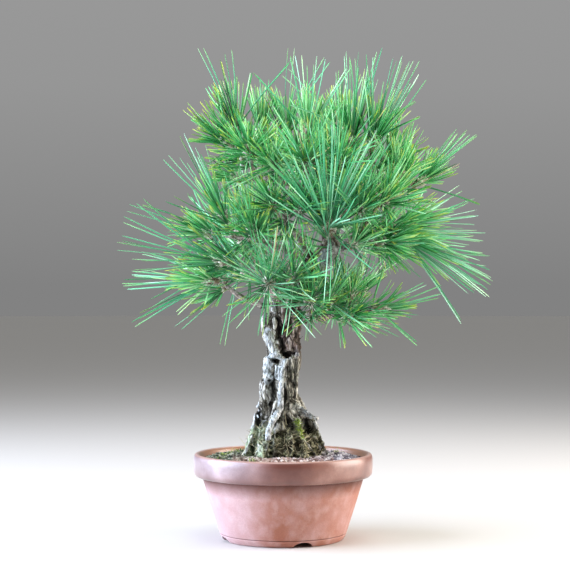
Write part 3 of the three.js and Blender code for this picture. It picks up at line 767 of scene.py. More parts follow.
def bark_at(spot, trunk, worn, mossy):
    """The bark's height in mm at a point in mm, how open a crack is there, which is painted as shade, and the
    tone of its plate.
    """
    wandering = spot + noise.noise_vector(spot / 21) * 7
    if trunk < 0.05:
        near, cells = noise.voronoi(wandering / 3.4)
        scale_rise = min(1, (near[1] - near[0]) / 0.3)
        return 0.7 * (scale_rise - 0.6), 0.6 * (1 - scale_rise), noise.cell(cells[0] * 9)
    cords = noise.ridged_multi_fractal(drawn_out(wandering, 11, 60), 0.9, 2.2, 3, 1.0, 1.6) - 1.1
    folded = drawn_out(wandering, 4.6, 17)
    near, cells = noise.voronoi(folded)
    plate = min(1, (near[1] - near[0]) / 0.22)
    tone = noise.cell(cells[0] * 9)
    tipped = (folded.z - cells[0].z) * (1 if tone > 0.4 else -1)
    fibres = noise.fractal(drawn_out(wandering, 1.9, 13), 0.8, 2.0, 3)
    tufts = noise.turbulence(spot / 6, 3, False, noise_basis="BLENDER", amplitude_scale=0.6) - 0.8
    rough = 1.3 * cords + 1.5 * (plate - 0.75) + 1.5 * tipped + 0.7 * (tone - 0.5) + 0.7 * fibres
    smooth = 0.5 * cords + 0.25 * (plate - 0.75) + 0.75 * fibres
    dry = rough * (1 - worn) + smooth * worn
    moss_height = 0.5 * cords + 3.4 * tufts + 0.5 * fibres
    # how open a crack is, painted as shade; among moss, the gaps between the tufts get painted shade too
    crack = (1 - plate) * (1 - 0.85 * worn)
    return (
        trunk * (dry * (1 - mossy) + moss_height * mossy),
        trunk * crack * (1 - 0.8 * mossy) + mossy * max(0, -0.9 * tufts),
        tone,
    )


relief, crack, tone = np.array([
    bark_at(Vector(spot), *zone) for spot, *zone in zip(smooth_mm, thick, pale, moss_share)]).T
# on the left of the foot the bark is shallower and its cracks get less painted shade; narrow furrows are sunk
# a little and painted with shade
left_foot = np.clip((-14 - wood_x) / 10, 0, 1) * np.clip((130 - wood_z) / 15, 0, 1)
relief = np.where(relief < 0, relief * (1 - 0.6 * left_foot), relief) - in_furrow
crack = np.maximum(crack * (1 - 0.7 * left_foot), in_furrow)
write_points(wood, smooth_points + smooth_normals * relief[:, None] * MM)
paint(
    wood, relief=relief, crack=np.clip(crack, 0, 1), tone=tone, hollow=in_hollow, pale=pale,
    thin=(1 - on_trunk) * (1 - pale), moss=moss_share, umber=umber * on_trunk)
bark_mm = from_pot_axis(wood)
bark_normals = read_points(wood, "normal")
print("relief in mm:", round(float(relief.min()), 2), "to", round(float(relief.max()), 2))

pick(wood)
root_ball.select_set(True)
bpy.ops.object.join()


# %% Pine bark
def make_bark():
    material, shader, add = new_material(
        "fissured_pine_bark", Roughness=0.88, IOR=1.45, Specular_IOR_Level=0.3)
    spot = add("TexCoord", output="Object")
    relief, crack, tone, hollow, pale, thin, moss, umber = (
        add("Attribute", attribute_name=name, output="Fac")
        for name in ("relief", "crack", "tone", "hollow", "pale", "thin", "moss", "umber"))
    patches = add("TexNoise", spot, 110, 5, 0.65)
    grains = add("TexNoise", spot, 480, 5, 0.75)
    # fibres run up the trunk, so their noise is drawn out along Z
    fibres = add("TexNoise", add("Mapping", spot, Scale=(1, 1, 0.16)), 620, 6, 0.7)
    plates = add("Math", fibres, add("Math", tone, 0.2, -0.1, operation="MULTIPLY_ADD"))
    brown = add("ValToRGB", plates, stops={0.3: "#69645A", 0.41: "#A8A496", 0.51: "#D0CFC2", 0.66: "#F0F1EA"})
    fresh = add("ValToRGB", plates, stops={0.3: "#54463F", 0.42: "#8B7A71", 0.53: "#B5A69F", 0.68: "#DCD2CC"})
    brown = add("Mix", umber, brown, fresh, **BLEND)
    # weathered wood has stains about 8 mm across, which keep it from looking painted
    weathered = add("ValToRGB", fibres, stops={
        0.3: "#4A5250", 0.38: "#8E9897", 0.46: "#C3CCCE", 0.56: "#E4EAEC", 0.7: "#F8FAFB"})
    weathered = add("Mix", add("MapRange", patches, 0.54, 0.4, 0, 0.65), weathered, "#848581", **BLEND)
    # the border of a pale or a mossy zone is broken by the patches
    pale_share = add("Math", pale, add("Math", patches, 1.3, -0.6, operation="MULTIPLY_ADD"))
    colour = add("Mix", add("MapRange", pale_share, 0.35, 0.7), brown, weathered, **BLEND)
    twig = add("ValToRGB", fibres, stops={0.3: "#76675E", 0.47: "#B3A499", 0.6: "#DACEC5", 0.76: "#F2ECE6"})
    colour = add("Mix", thin, colour, twig, **BLEND)
    green = add("ValToRGB", grains, stops={
        0.3: "#4A4A30", 0.4: "#80835F", 0.49: "#ABAB88", 0.57: "#CFC7A8", 0.7: "#EFE9D2"})
    # a paler jade green on the left of the foot
    foot_side = add("SeparateXYZ", spot, output="X")
    jade_share = add("MapRange", foot_side, pot_axis.x - 6 * MM, pot_axis.x - 24 * MM, 0, 0.65)
    green = add("Mix", jade_share, green, "#A9C4A6", **BLEND)
    moss_part = add("Math", moss, add("Math", patches, 1.6, -0.8, operation="MULTIPLY_ADD"))
    colour = add("Mix", add("MapRange", moss_part, 0.35, 0.65), colour, green, **BLEND)
    # high ridges are paler, partly from wear and partly as a painted highlight; cracks and low places get
    # painted shade, and hollows a painted shade that is nearly black
    colour = add("Mix", add("MapRange", relief, 0.3, 2.2, 0, 0.4), colour, "#D6D2C4", **BLEND)
    crack_shade = add("MapRange", crack, 0.2, 0.95, 1, 0.3)
    low_shade = add("MapRange", relief, -2.6, -0.4, 0.48, 1)
    hollow_shade = add("MapRange", hollow, 0.3, 0.9, 1, 0.07)
    # hair cracks along the grain, about 4 mm apart, which a little noise makes crooked, with painted shade in
    # them
    crooked = add(
        "VectorMath", patches.node.outputs["Color"], (6 * MM, 6 * MM, 6 * MM), spot, operation="MULTIPLY_ADD")
    hairs = add(
        "TexVoronoi", add("Mapping", crooked, Scale=(1, 1, 0.24)), 250, feature="DISTANCE_TO_EDGE")
    painted_shade = add("MapRange", hairs, 0.02, 0.12, 0.45, 1)
    # the painted shade of hair cracks, cracks, low places and hollows darkens the colour together
    for share in (crack_shade, low_shade, hollow_shade):
        painted_shade = add("Math", share, painted_shade, operation="MULTIPLY")
    rough = add("Bump", Strength=0.8, Distance=1.1 * MM, Height=fibres)
    rough = add("Bump", Strength=0.5, Distance=0.8 * MM, Height=grains, Normal=rough)
    fill(shader, Base_Color=add("Mix", 1, colour, painted_shade, **MULTIPLY), Normal=rough)
    return material


wood.data.materials.append(make_bark())
pick(wood)
bpy.ops.object.shade_smooth()
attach(wood, "root")
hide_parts("trunk_and_branches")
print("wood:", triangle_count(wood), "triangles")

# %% [markdown]
# ## The soil
# Bonsai soil is coarse grit, sieved to a few millimetres. Each grain could be a particle, but the export
# drops particles, so the grains are real meshes. One grain is modelled from a cube: a bevel breaks its
# edges, and a random nudge of its corners makes it a broken stone. It is then copied, turned and scaled.

# %% One grain of grit
def shape_of(piece):
    """A modelled shape's points and its faces as triangles, and the object is removed."""
    bpy.ops.mesh.quads_convert_to_tris()
    bpy.ops.object.mode_set(mode="OBJECT")
    points = read_points(piece)
    faces = np.array([polygon.vertices[:] for polygon in piece.data.polygons])
    bpy.data.objects.remove(piece)
    return points, faces


GRAIN_KINDS = 3
FIRST_SEED = 3
GRAIN_HALF = 1.25
grain_shapes = []
for kind in range(GRAIN_KINDS):
    bpy.ops.mesh.primitive_cube_add(size=2)
    grain = bpy.context.object
    all_selected(grain)
    bpy.ops.mesh.bevel(offset=0.62, segments=1)
    bpy.ops.mesh.select_all(action="SELECT")
    bpy.ops.transform.vertex_random(offset=0.22, uniform=1.0, normal=0.0, seed=kind + FIRST_SEED)
    grain_points, grain_faces = shape_of(grain)
    grain_shapes.append((grain_points / GRAIN_HALF, grain_faces))
print("a grain has", len(grain_shapes[0][1]), "triangles")


# %% [markdown]
# Many small copies make one piece. Each batch of copies is a list of points, faces and painted values, and
# one function welds the batches into a mesh. Turning a copy at random needs a rotation that is as likely to
# point one way as any other, which a random unit quaternion gives.

# %% Helpers for pieces made of many copies
def unit(rows):
    """Rows of vectors, each at length 1."""
    return rows / np.linalg.norm(rows, axis=-1, keepdims=True)


def random_turns(draw, count):
    """Rotation matrices from random unit quaternions."""
    w, x, y, z = unit(draw.normal(size=(count, 4))).T
    rows = [
        [1 - 2 * (y * y + z * z), 2 * (x * y - z * w), 2 * (x * z + y * w)],
        [2 * (x * y + z * w), 1 - 2 * (x * x + z * z), 2 * (y * z - x * w)],
        [2 * (x * z - y * w), 2 * (y * z + x * w), 1 - 2 * (x * x + y * y)],
    ]
    return np.moveaxis(np.array(rows), -1, 0)


def batch(points, faces, number=0, **values):
    """Copies of a shape, from points in mm as (copy, vertex, 3), with painted values for each copy."""
    count, size = points.shape[:2]
    offsets = np.arange(count)[:, None, None] * size
    painted = {
        name: np.repeat(np.broadcast_to(value, count), size) for name, value in values.items()}
    all_faces = (faces[None] + offsets).reshape(-1, faces.shape[1])
    return points.reshape(-1, 3) * MM + axis_point, all_faces, painted, number


def weld(name, batches):
    """One object from batches of (points, faces, painted values, material number)."""
    points, faces, painted, numbers = zip(*batches)
    starts = np.cumsum([0] + [len(rows) for rows in points])
    all_faces = np.concatenate([rows + start for rows, start in zip(faces, starts)])
    piece = new_piece(name, np.concatenate(points).tolist(), (), all_faces.tolist())
    piece.data.polygons.foreach_set("material_index", np.repeat(numbers, [len(rows) for rows in faces]))
    paint(piece, **{key: np.concatenate([values[key] for values in painted]) for key in painted[0]})
    return piece


# %% [markdown]
# The grains lie where a ray from above meets the soil before it meets the wood. Candidates are drawn at
# random over the pot, and one that is too near a grain already laid is dropped, which spreads them evenly.
# In the photograph they are greyish violet on the right, greener on the left and pinkish at the front rim.

# %% Grit on the soil
MOST_GRAINS = 2600
GRAIN_SPACING = 2.6
GRAIN_SIZES = (1.3, 2.7)
ABOVE_SOIL = 140
WALL_BAND = 3
SOIL_REACH = 79.5
SOIL_SEED = 11
depsgraph = bpy.context.evaluated_depsgraph_get()
wood_tree = BVHTree.FromObject(wood, depsgraph)
soil_tree = BVHTree.FromObject(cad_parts["soil"], depsgraph)


def soil_height(x, y):
    """The height in mm of the open soil under a place, or None where wood or nothing is."""
    above, down = place(x, y, ABOVE_SOIL), Vector((0, 0, -1))
    ground, bark_over = (tree.ray_cast(above, down)[0] for tree in (soil_tree, wood_tree))
    if ground is None or (bark_over is not None and bark_over.z > ground.z):
        return None
    return ground.z / MM


draw = np.random.default_rng(SOIL_SEED)
grain_spots = []
taken = {}
for attempt in range(MOST_GRAINS * 8):
    radius = SOIL_REACH * math.sqrt(draw.random())
    bearing = math.tau * draw.random()
    x, y = radius * math.cos(bearing), radius * math.sin(bearing)
    cell = (int(x // GRAIN_SPACING), int(y // GRAIN_SPACING))
    around = [(cell[0] + i, cell[1] + j) for i in (-1, 0, 1) for j in (-1, 0, 1)]
    if any(math.dist(taken[key], (x, y)) < GRAIN_SPACING for key in around if key in taken):
        continue
    ground = soil_height(x, y)
    if ground is not None:
        taken[cell] = (x, y)
        grain_spots.append((x, y, ground))
    if len(grain_spots) == MOST_GRAINS:
        break
grain_spots = np.array(grain_spots)

grain_batches = []
for kind, (shape, faces) in enumerate(grain_shapes):
    spots = grain_spots[kind::GRAIN_KINDS]
    x, y, _ = spots.T
    sizes = draw.uniform(*GRAIN_SIZES, len(spots))[:, None] * draw.uniform(0.75, 1.15, spots.shape)
    sizes[np.hypot(x, y) > SOIL_REACH - WALL_BAND] *= 0.7  # so that none sticks through the wall
    points = np.einsum("nij,nvj->nvi", random_turns(draw, len(spots)), shape[None] * sizes[:, None])
    points += spots[:, None] + np.array([0, 0, 0.5])
    grain_batches.append(batch(
        points, faces, tone=draw.random(len(spots)), side=np.clip(x / 80, -1, 1),
        front=np.clip(-y / 80, 0, 1) * (np.abs(x) < 50)))
grit = weld("soil_grit", grain_batches)
print("grains:", len(grain_spots), "with", triangle_count(grit), "triangles")


# %% Grit and soil materials
def make_grit(label, darkening):
    """Crushed pumice, lava and fired clay. The soil under the grains is made darker."""
    material, shader, add = new_material(label, Roughness=0.92, IOR=1.5)
    tone, side, front = (
        add("Attribute", attribute_name=name, output="Fac") for name in ("tone", "side", "front"))
    fine = add("TexNoise", add("TexCoord", output="Object"), 650, 5, 0.7)
    right, left, rim = (add("ValToRGB", tone, stops=stops) for stops in (
        {0: "#45404A", 0.35: "#7F7984", 0.7: "#BDB7C2", 1: "#EFEBF0"},
        {0: "#292F26", 0.35: "#484D3D", 0.7: "#737762", 1: "#B8B5A1"},
        {0: "#8C6A5C", 0.5: "#C2A294", 1: "#E6D8CE"}))
    colour = add("Mix", add("MapRange", side, -0.4, 0.4), left, right, **BLEND)
    colour = add("Mix", front, colour, rim, **BLEND)
    # fine specks on every grain, and a darker soil under the grains
    speckle_and_darkening = add("MapRange", fine, 0.3, 0.65, 0.6 * (1 - darkening), 1.05 * (1 - darkening))
    rough = add("Bump", Strength=0.7, Distance=0.6 * MM, Height=fine)
    fill(shader, Base_Color=add("Mix", 1, colour, speckle_and_darkening, **MULTIPLY), Normal=rough)
    return material


def dress_node(name, material):
    """Gives a CAD node that stays a better material."""
    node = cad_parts[name]
    node.data.materials.clear()
    node.data.materials.append(material)


grit.data.materials.append(make_grit("crushed_grit", darkening=0.0))
dress_node("soil", make_grit("darkened_soil", darkening=0.45))
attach(grit, "root")
print("grit and soil:", *grit.data.materials.keys(), *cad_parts["soil"].data.materials.keys())

# %% [markdown]
# The drain net on the pot's floor keeps its CAD shape. It is moulded black polyethylene: slightly waxy, so
# its roughness is middling, and fine noise dulls it with dust from the soil.

# %% Drain net
net, shader, add = new_material("moulded_polyethylene", Roughness=0.5, IOR=1.5)
dust = add("TexNoise", add("TexCoord", output="Object"), 300, 3)
fill(shader, Base_Color=add("ValToRGB", dust, stops={0.4: "#1B1D1F", 0.7: "#4A4641"}))
dress_node("drain_net", net)
print("net:", net.name)

# %% [markdown]
# ## The needles
# A black pine bears its needles in pairs. The two halves of a pair lie flat against each other at first, so
# a needle is half round: a hexagonal rod, cut in half along its length by a bisect that fills the cut. More
# bisects go across it, so that it can bend, and its rings are narrowed to a blunt point. The same function
# makes the sheath that flares at its mouth, the shoot's core that swells to a bud, the brown scales on it,
# and the threads of moss. Each rod has a radius and a length of 1, and the copies stretch it to size.

# %% Rods for needles, sheaths, scales, shoots and moss
def rod(sides, profile, top=1, halved=False):
    """A standing cone or cylinder, with a ring at each height of the profile, widened as it says."""
    bpy.ops.mesh.primitive_cone_add(vertices=sides, radius1=1, radius2=top, depth=1, location=(0, 0, 0.5))
    piece = bpy.context.object
    bpy.ops.object.transform_apply(location=True)
    all_selected(piece)
    if halved:
        bpy.ops.mesh.bisect(plane_co=(0, 0, 0), plane_no=(0, 1, 0), use_fill=True, clear_inner=True)
    for level in list(profile)[1:-1]:
        bpy.ops.mesh.select_all(action="SELECT")
        bpy.ops.mesh.bisect(plane_co=(0, 0, level), plane_no=UP)
    bpy.ops.object.mode_set(mode="OBJECT")
    points = read_points(piece)
    points[:, :2] *= np.interp(points[:, 2], list(profile), list(profile.values()))[:, None]
    write_points(piece, points)
    all_selected(piece)
    bpy.ops.mesh.normals_make_consistent(inside=False)
    return shape_of(piece)


needle = rod(6, {0: 0.7, 0.06: 1, 0.3: 1, 0.6: 0.95, 0.94: 0.75, 1: 0.3}, halved=True)
sheath = rod(6, {0: 0.75, 0.5: 1, 1: 1.2})
scale = rod(3, {0: 1, 1: 1}, top=0)
core = rod(8, {0: 0.8, 0.3: 0.95, 0.6: 1, 0.75: 0.85, 0.88: 0.6, 1: 0.12})
thread = rod(3, {0: 1, 0.5: 1, 1: 1}, top=0.25)
print("a needle has", len(needle[1]), "triangles, and a thread", len(thread[1]))

# %% [markdown]
# The shoots are where the photograph shows them, and those at the back are placed to make the crown full on
# every side. Each row gives the limb, the foot of the shoot in millimetres from the pot's axis, the way that
# it points, and how far its lowest needles lean away from that. A shoot bears two kinds of needles, each
# given as a length and a number of pairs: last summer's long ones, and those that were cut back by about
# half, which make the dense core of every tuft.

# %% Shoots
shoots = [
    ("low_left", (-64, -13, 259), (-0.85, -0.3, 0), 56, (58, 4), (42, 28)),
    ("low_left", (-61, 10, 262), (-0.93, 0.1, -0.2), 24, (100, 7), (54, 8)),
    ("low_front", (-13, -45, 254), (-0.15, -0.95, 0.2), 104, (72, 26), (50, 16)),
    ("low_front", (8, -36, 258), (0.3, -0.85, 0.35), 90, (72, 14), (50, 14)),
    ("mid_left", (-48, -21, 277), (-0.95, -0.22, 0.1), 34, (108, 9), (60, 14)),
    ("mid_left", (-26, 6, 276), (-0.35, 0.2, 0.9), 45, (66, 8), (48, 18)),
    ("mid_left", (-40, 32, 267), (-0.6, 0.75, 0.2), 50, (72, 8), (50, 16)),
    ("left", (-53, -16, 314), (-0.52, -0.15, 0.82), 36, (92, 7), (48, 16)),
    ("left", (-62, 0, 304), (-0.93, 0, 0.2), 45, (84, 2), (46, 30)),
    ("left", (-34, 28, 314), (-0.3, 0.6, 0.75), 50, (66, 8), (46, 22)),
    ("left", (-28, -38, 303), (-0.2, -0.75, 0.5), 78, (62, 12), (45, 24)),
    ("low_right", (43, -18, 234), (0.2, -0.8, 0.6), 88, (92, 11), (42, 16)),
    ("low_right", (90, -3, 231), (0.97, -0.1, 0), 30, (64, 4), (38, 14)),
    ("low_right", (66, -15, 237), (0.25, -0.3, 0.9), 40, (48, 4), (36, 18)),
    ("low_right", (72, 16, 238), (0.64, 0.25, 0.72), 14, (72, 4), (36, 7)),
    ("low_right", (60, -28, 224), (0.62, -0.75, -0.15), 50, (54, 9), (36, 16)),
    ("low_right", (26, -34, 236), (0.05, -0.92, 0.35), 95, (52, 14), (38, 22)),
    ("low_right", (58, 40, 246), (0.3, 0.9, 0.1), 40, (64, 6), (44, 14)),
    ("front_centre", (45, -47, 303), (-0.05, -0.6, 0.8), 68, (112, 40), (72, 34)),
    ("front_centre", (64, -30, 291), (0.6, -0.7, 0.4), 60, (60, 10), (42, 18)),
    ("right", (112, -15, 306), (0.86, -0.12, -0.48), 23, (97, 13), (60, 18)),
    ("right", (99, -26, 313), (0.94, -0.3, 0), 26, (86, 9), (56, 26)),
    ("right", (90, -34, 297), (0.84, -0.5, 0), 40, (60, 10), (44, 24)),
    ("right_up", (129, 0, 354), (0.84, 0, 0.5), 48, (72, 8), (42, 26)),
    ("right_up", (112, -20, 357), (0.3, -0.5, 0.8), 52, (58, 8), (42, 28)),
    ("right_up", (104, 32, 348), (0.6, 0.55, 0.5), 45, (60, 8), (42, 20)),
    ("front_right", (93, -49, 332), (0.4, -0.8, 0.4), 76, (62, 16), (44, 26)),
    ("front_right", (74, -52, 326), (0.15, -0.9, 0.35), 88, (64, 18), (44, 26)),
    ("top_right", (68, -9, 390), (0.05, -0.2, 0.97), 42, (90, 10), (56, 30)),
    ("top_right", (87, -14, 388), (0.27, -0.25, 0.93), 38, (86, 9), (54, 28)),
    ("top_right", (104, 2, 373), (0.5, 0.05, 0.85), 50, (50, 6), (40, 28)),
    ("trunk", (57, 14, 403), (-0.1, 0.35, 0.95), 35, (72, 6), (48, 24)),
    ("top_left", (25, -12, 398), (0, -0.2, 0.97), 42, (80, 6), (48, 30)),
    ("top_left", (3, 6, 399), (0.02, 0.1, 0.99), 36, (90, 2), (46, 30)),
    ("top_left", (32, 44, 396), (0, 0.65, 0.75), 42, (60, 6), (46, 22)),
    ("front_top", (52, -46, 367), (0.2, -0.8, 0.55), 80, (64, 14), (46, 30)),
    ("front_top", (24, -48, 369), (-0.1, -0.85, 0.5), 80, (62, 14), (46, 30)),
    ("upper_left", (-44, -4, 403), (-0.3, -0.1, 0.95), 40, (88, 4), (52, 30)),
    ("upper_left", (-49, -16, 393), (-0.78, -0.3, 0.5), 40, (56, 6), (43, 32)),
    ("upper_left", (-30, -28, 382), (-0.35, -0.75, 0.5), 74, (58, 8), (44, 32)),
    ("upper_left", (-38, 4, 360), (-0.85, -0.2, 0.3), 60, (40, 4), (30, 30)),
    ("upper_left", (-22, 12, 404), (0.05, 0.2, 0.97), 34, (62, 5), (44, 24)),
    ("upper_left", (-7, -36, 368), (-0.2, -0.85, 0.45), 80, (60, 10), (44, 32)),
    ("upper_left", (-22, 36, 380), (-0.35, 0.65, 0.65), 45, (60, 6), (44, 24)),
    ("front_left", (-6, -44, 329), (-0.4, -0.8, 0.35), 80, (62, 14), (44, 26)),
    ("front_left", (16, -50, 326), (0.1, -0.95, 0.25), 90, (60, 14), (44, 26)),
    ("back_low", (25, 75, 281), (0.1, 0.95, 0.25), 48, (76, 9), (50, 18)),
    ("back_low", (-2, 62, 268), (-0.4, 0.9, 0.15), 45, (64, 8), (46, 16)),
    ("back_left", (-43, 66, 299), (-0.5, 0.8, 0.3), 45, (80, 9), (52, 18)),
    ("back_left", (-26, 58, 318), (-0.35, 0.5, 0.75), 45, (66, 8), (46, 20)),
    ("back_mid", (55, 90, 319), (0.1, 0.95, 0.3), 55, (84, 10), (54, 20)),
    ("back_mid", (72, 68, 334), (0.35, 0.6, 0.7), 45, (68, 8), (48, 20)),
    ("back_right", (120, 61, 315), (0.6, 0.75, 0.25), 36, (78, 9), (50, 18)),
    ("back_top", (12, 81, 369), (-0.15, 0.85, 0.5), 50, (74, 9), (50, 20)),
    ("back_top", (46, 62, 374), (0.3, 0.65, 0.7), 45, (68, 8), (46, 20)),
]
print("shoots:", len(shoots), "on", len({limb for limb, *_ in shoots}), "limbs")

# %% [markdown]
# Leaves on a shoot stand a golden angle apart, about 137.5 degrees, so that none hides the one below. The
# pairs at the foot of a shoot are the widest open, and those at its tip are nearly in line with it. Each
# needle is a curve: it starts along its own way and bends a little, and some stray further. Before a pair
# is kept, its needles are tested with rays against the wood, and a tip that would leave the CAD box is cut
# back. Older pairs stand on the twig behind the shoot, which fills the inside of the tree.

# %% Rule for the pairs of a shoot
GOLDEN_ANGLE = math.radians(137.508)
TIP_LEAN = 6
UPWARD_PULL = 0.1
CORE_RADIUS = 2.8
BARE_FOOT = 6
BEARING_SHARE = 0.85  # of a shoot's height, below its bud
SPLAY = (1.5, 5.5)  # degrees between a needle and the middle of its pair
LEAN_SCATTER = 9
SHEATH_LENGTH = 5
STRAY_SHARE = 0.18
STRAY_FACTOR = 2.1
LONG_FROM = 62
LEAST_LONG = 0.82
LEAST_SHORT = 0.62
TWIG_REACH = 24
OLD_PAIRS = 20
OLD_SIZES = (0.65, 1.15)
ATTEMPTS = 12
SHORTEST = 10
SHORTENING = 0.94
BOX_MARGIN = 0.4
PATH_STEPS = (0.08, 0.35, 0.7, 1.0)
TWIGS_FROM = 220
low_limit = np.array(cad_low) / MM - axis_point / MM + BOX_MARGIN
high_limit = np.array(cad_high) / MM - axis_point / MM - BOX_MARGIN
on_twig = (wood_z > TWIGS_FROM) & (on_trunk < 0.2) & (pale < 0.3)
twig_spots, twig_ways = bark_mm[on_twig], bark_normals[on_twig]


def hits_wood(start, way, bend, length):
    """Whether a needle, a curve from start, meets the wood. Places are in mm from the pot's axis."""
    path = [place(*(start + (way * share + bend * share ** 2) * length)) for share in PATH_STEPS]
    steps = [(one, other - one) for one, other in zip(path, path[1:])]
    return any(wood_tree.ray_cast(one, step.normalized(), step.length)[0] is not None for one, step in steps)


def room_for(start, way, bend, length):
    """The length that keeps the tip inside the CAD box."""
    while length > SHORTEST:
        tip = start + (way + bend) * length
        if np.all(tip > low_limit) and np.all(tip < high_limit):
            break
        length *= SHORTENING
    return length


def splayed_pair(base, middle, across, bend, size, draw):
    """The two needles of a pair, which part a little, as rows of start, way, bend, across, length."""
    rows = []
    for hand in (-1, 1):
        splay = math.tan(math.radians(draw.uniform(*SPLAY)))
        own = unit(middle + across * hand * splay)
        own_bend = bend + draw.normal(0, 0.012, 3)
        own_size = room_for(base, own, own_bend, size * draw.uniform(0.96, 1.0))
        rows.append((base + across * hand * 0.1, own, own_bend, across * hand, own_size))
    return rows


def old_pairs(foot, way, length, draw):
    """Older pairs on the twig behind a shoot. They stand on vertices of the bark near its foot."""
    needles, sheaths = [], []
    near = np.flatnonzero(np.linalg.norm(twig_spots - foot, axis=1) < TWIG_REACH)
    for index in draw.choice(near, OLD_PAIRS) if len(near) else ():
        outward = twig_ways[index]
        middle = unit(0.55 * outward + 0.5 * way + draw.normal(0, 0.34, 3))
        across = unit(np.cross(middle, draw.normal(size=3)))
        base = twig_spots[index] + outward * 0.4
        bend = np.array([0, 0, 0.05]) + draw.normal(0, 0.05, 3)
        pair = splayed_pair(base, middle, across, bend, length * draw.uniform(*OLD_SIZES), draw)
        if not any(hits_wood(start + own, own, own_bend, size) for start, own, own_bend, _, size in pair):
            needles.extend(pair)
            sheaths.append((base, middle, across, SHEATH_LENGTH))
    return needles, sheaths


def place_pairs(foot, way, opening, lengths, tall, draw):
    """Needles of one shoot as rows of start, way, bend, across, length, and the sheaths' rows."""
    needles, sheaths = [], []
    side = unit(np.cross(UP, way))
    other_side = np.cross(way, side)
    for number, length in enumerate(lengths):
        share = number / (len(lengths) - 1)
        level = BARE_FOOT + (BEARING_SHARE * tall - BARE_FOOT) * share
        size = length * draw.uniform(LEAST_LONG if length > LONG_FROM else LEAST_SHORT, 1.04)
        for attempt in range(ATTEMPTS):
            stray = STRAY_FACTOR if draw.random() < STRAY_SHARE else 1.0
            lean = opening + (TIP_LEAN - opening) * share ** 0.8 + draw.normal(0, LEAN_SCATTER * stray)
            lean = math.radians(lean)
            turn = number * GOLDEN_ANGLE + draw.normal(0, 0.3 + 0.1 * attempt)
            out = side * math.cos(turn) + other_side * math.sin(turn)
            middle = unit(way * math.cos(lean) + out * math.sin(lean) + np.array([0, 0, UPWARD_PULL]))
            across = unit(np.cross(middle, way) + 1e-6)
            base = foot + way * level + out * CORE_RADIUS * 0.5
            bend = (np.array([0, 0, draw.normal(0.0, 0.05)]) + draw.normal(0, 0.035, 3)) * stray
            pair = splayed_pair(base, middle, across, bend, size, draw)
            if not any(hits_wood(start, own, own_bend, length) for start, own, own_bend, _, length in pair):
                needles.extend(pair)
                sheaths.append((base, middle, across, SHEATH_LENGTH + 0.03 * size))
                break
    return needles, sheaths


# %% [markdown]
# Each spray becomes one mesh that stands for its CAD node. The needle is stretched along every curve at
# once with numpy: rows are copies, columns are the points of the modelled needle. Each vertex also gets the
# values that the needle material reads: how far along it is, the tone of its needle, whether the tip is cut,
# and how young the needle is.

# %% Build the sprays
NEEDLE_RADIUS = 0.78
SHEATH_RADIUS = 1.15
SHOOT_HEIGHT = 9
SHORT_SHARE = 0.8
YOUNG_FROM = 48
YOUNG_OVER = 30
SCALES_PER_MM = 2.6
SCALE_WIDTHS = (0.6, 1.2)
SCALE_LENGTHS = (3.5, 6.5)
DEAD_SHARE = 0.006
OLD_TONE_AND_SHADE = 0.75  # older needles are darker, and as they fill the inside of the tree this is also painted shade
FIRST_SPRAY_SEED = 500


def stretched(modelled, starts, ways, bends, across, widths, lengths, tone, cut=0, young=0, number=0):
    """A batch of a rod's copies along curves, in mm. Its y axis points across, its x axis sideways."""
    shape, faces = modelled
    share = shape[None, :, 2, None]
    widths, lengths = (np.broadcast_to(size, len(starts))[:, None, None] for size in (widths, lengths))
    points = starts[:, None] + (ways[:, None] * share + bends[:, None] * share ** 2) * lengths
    points += widths * shape[None, :, 0, None] * np.cross(across, ways)[:, None]
    points += widths * shape[None, :, 1, None] * across[:, None]
    flat, all_faces, painted, _ = batch(points, faces, tone=tone, cut=cut, young=young)
    return flat, all_faces, {"along": np.tile(shape[:, 2], len(starts)), **painted}, number


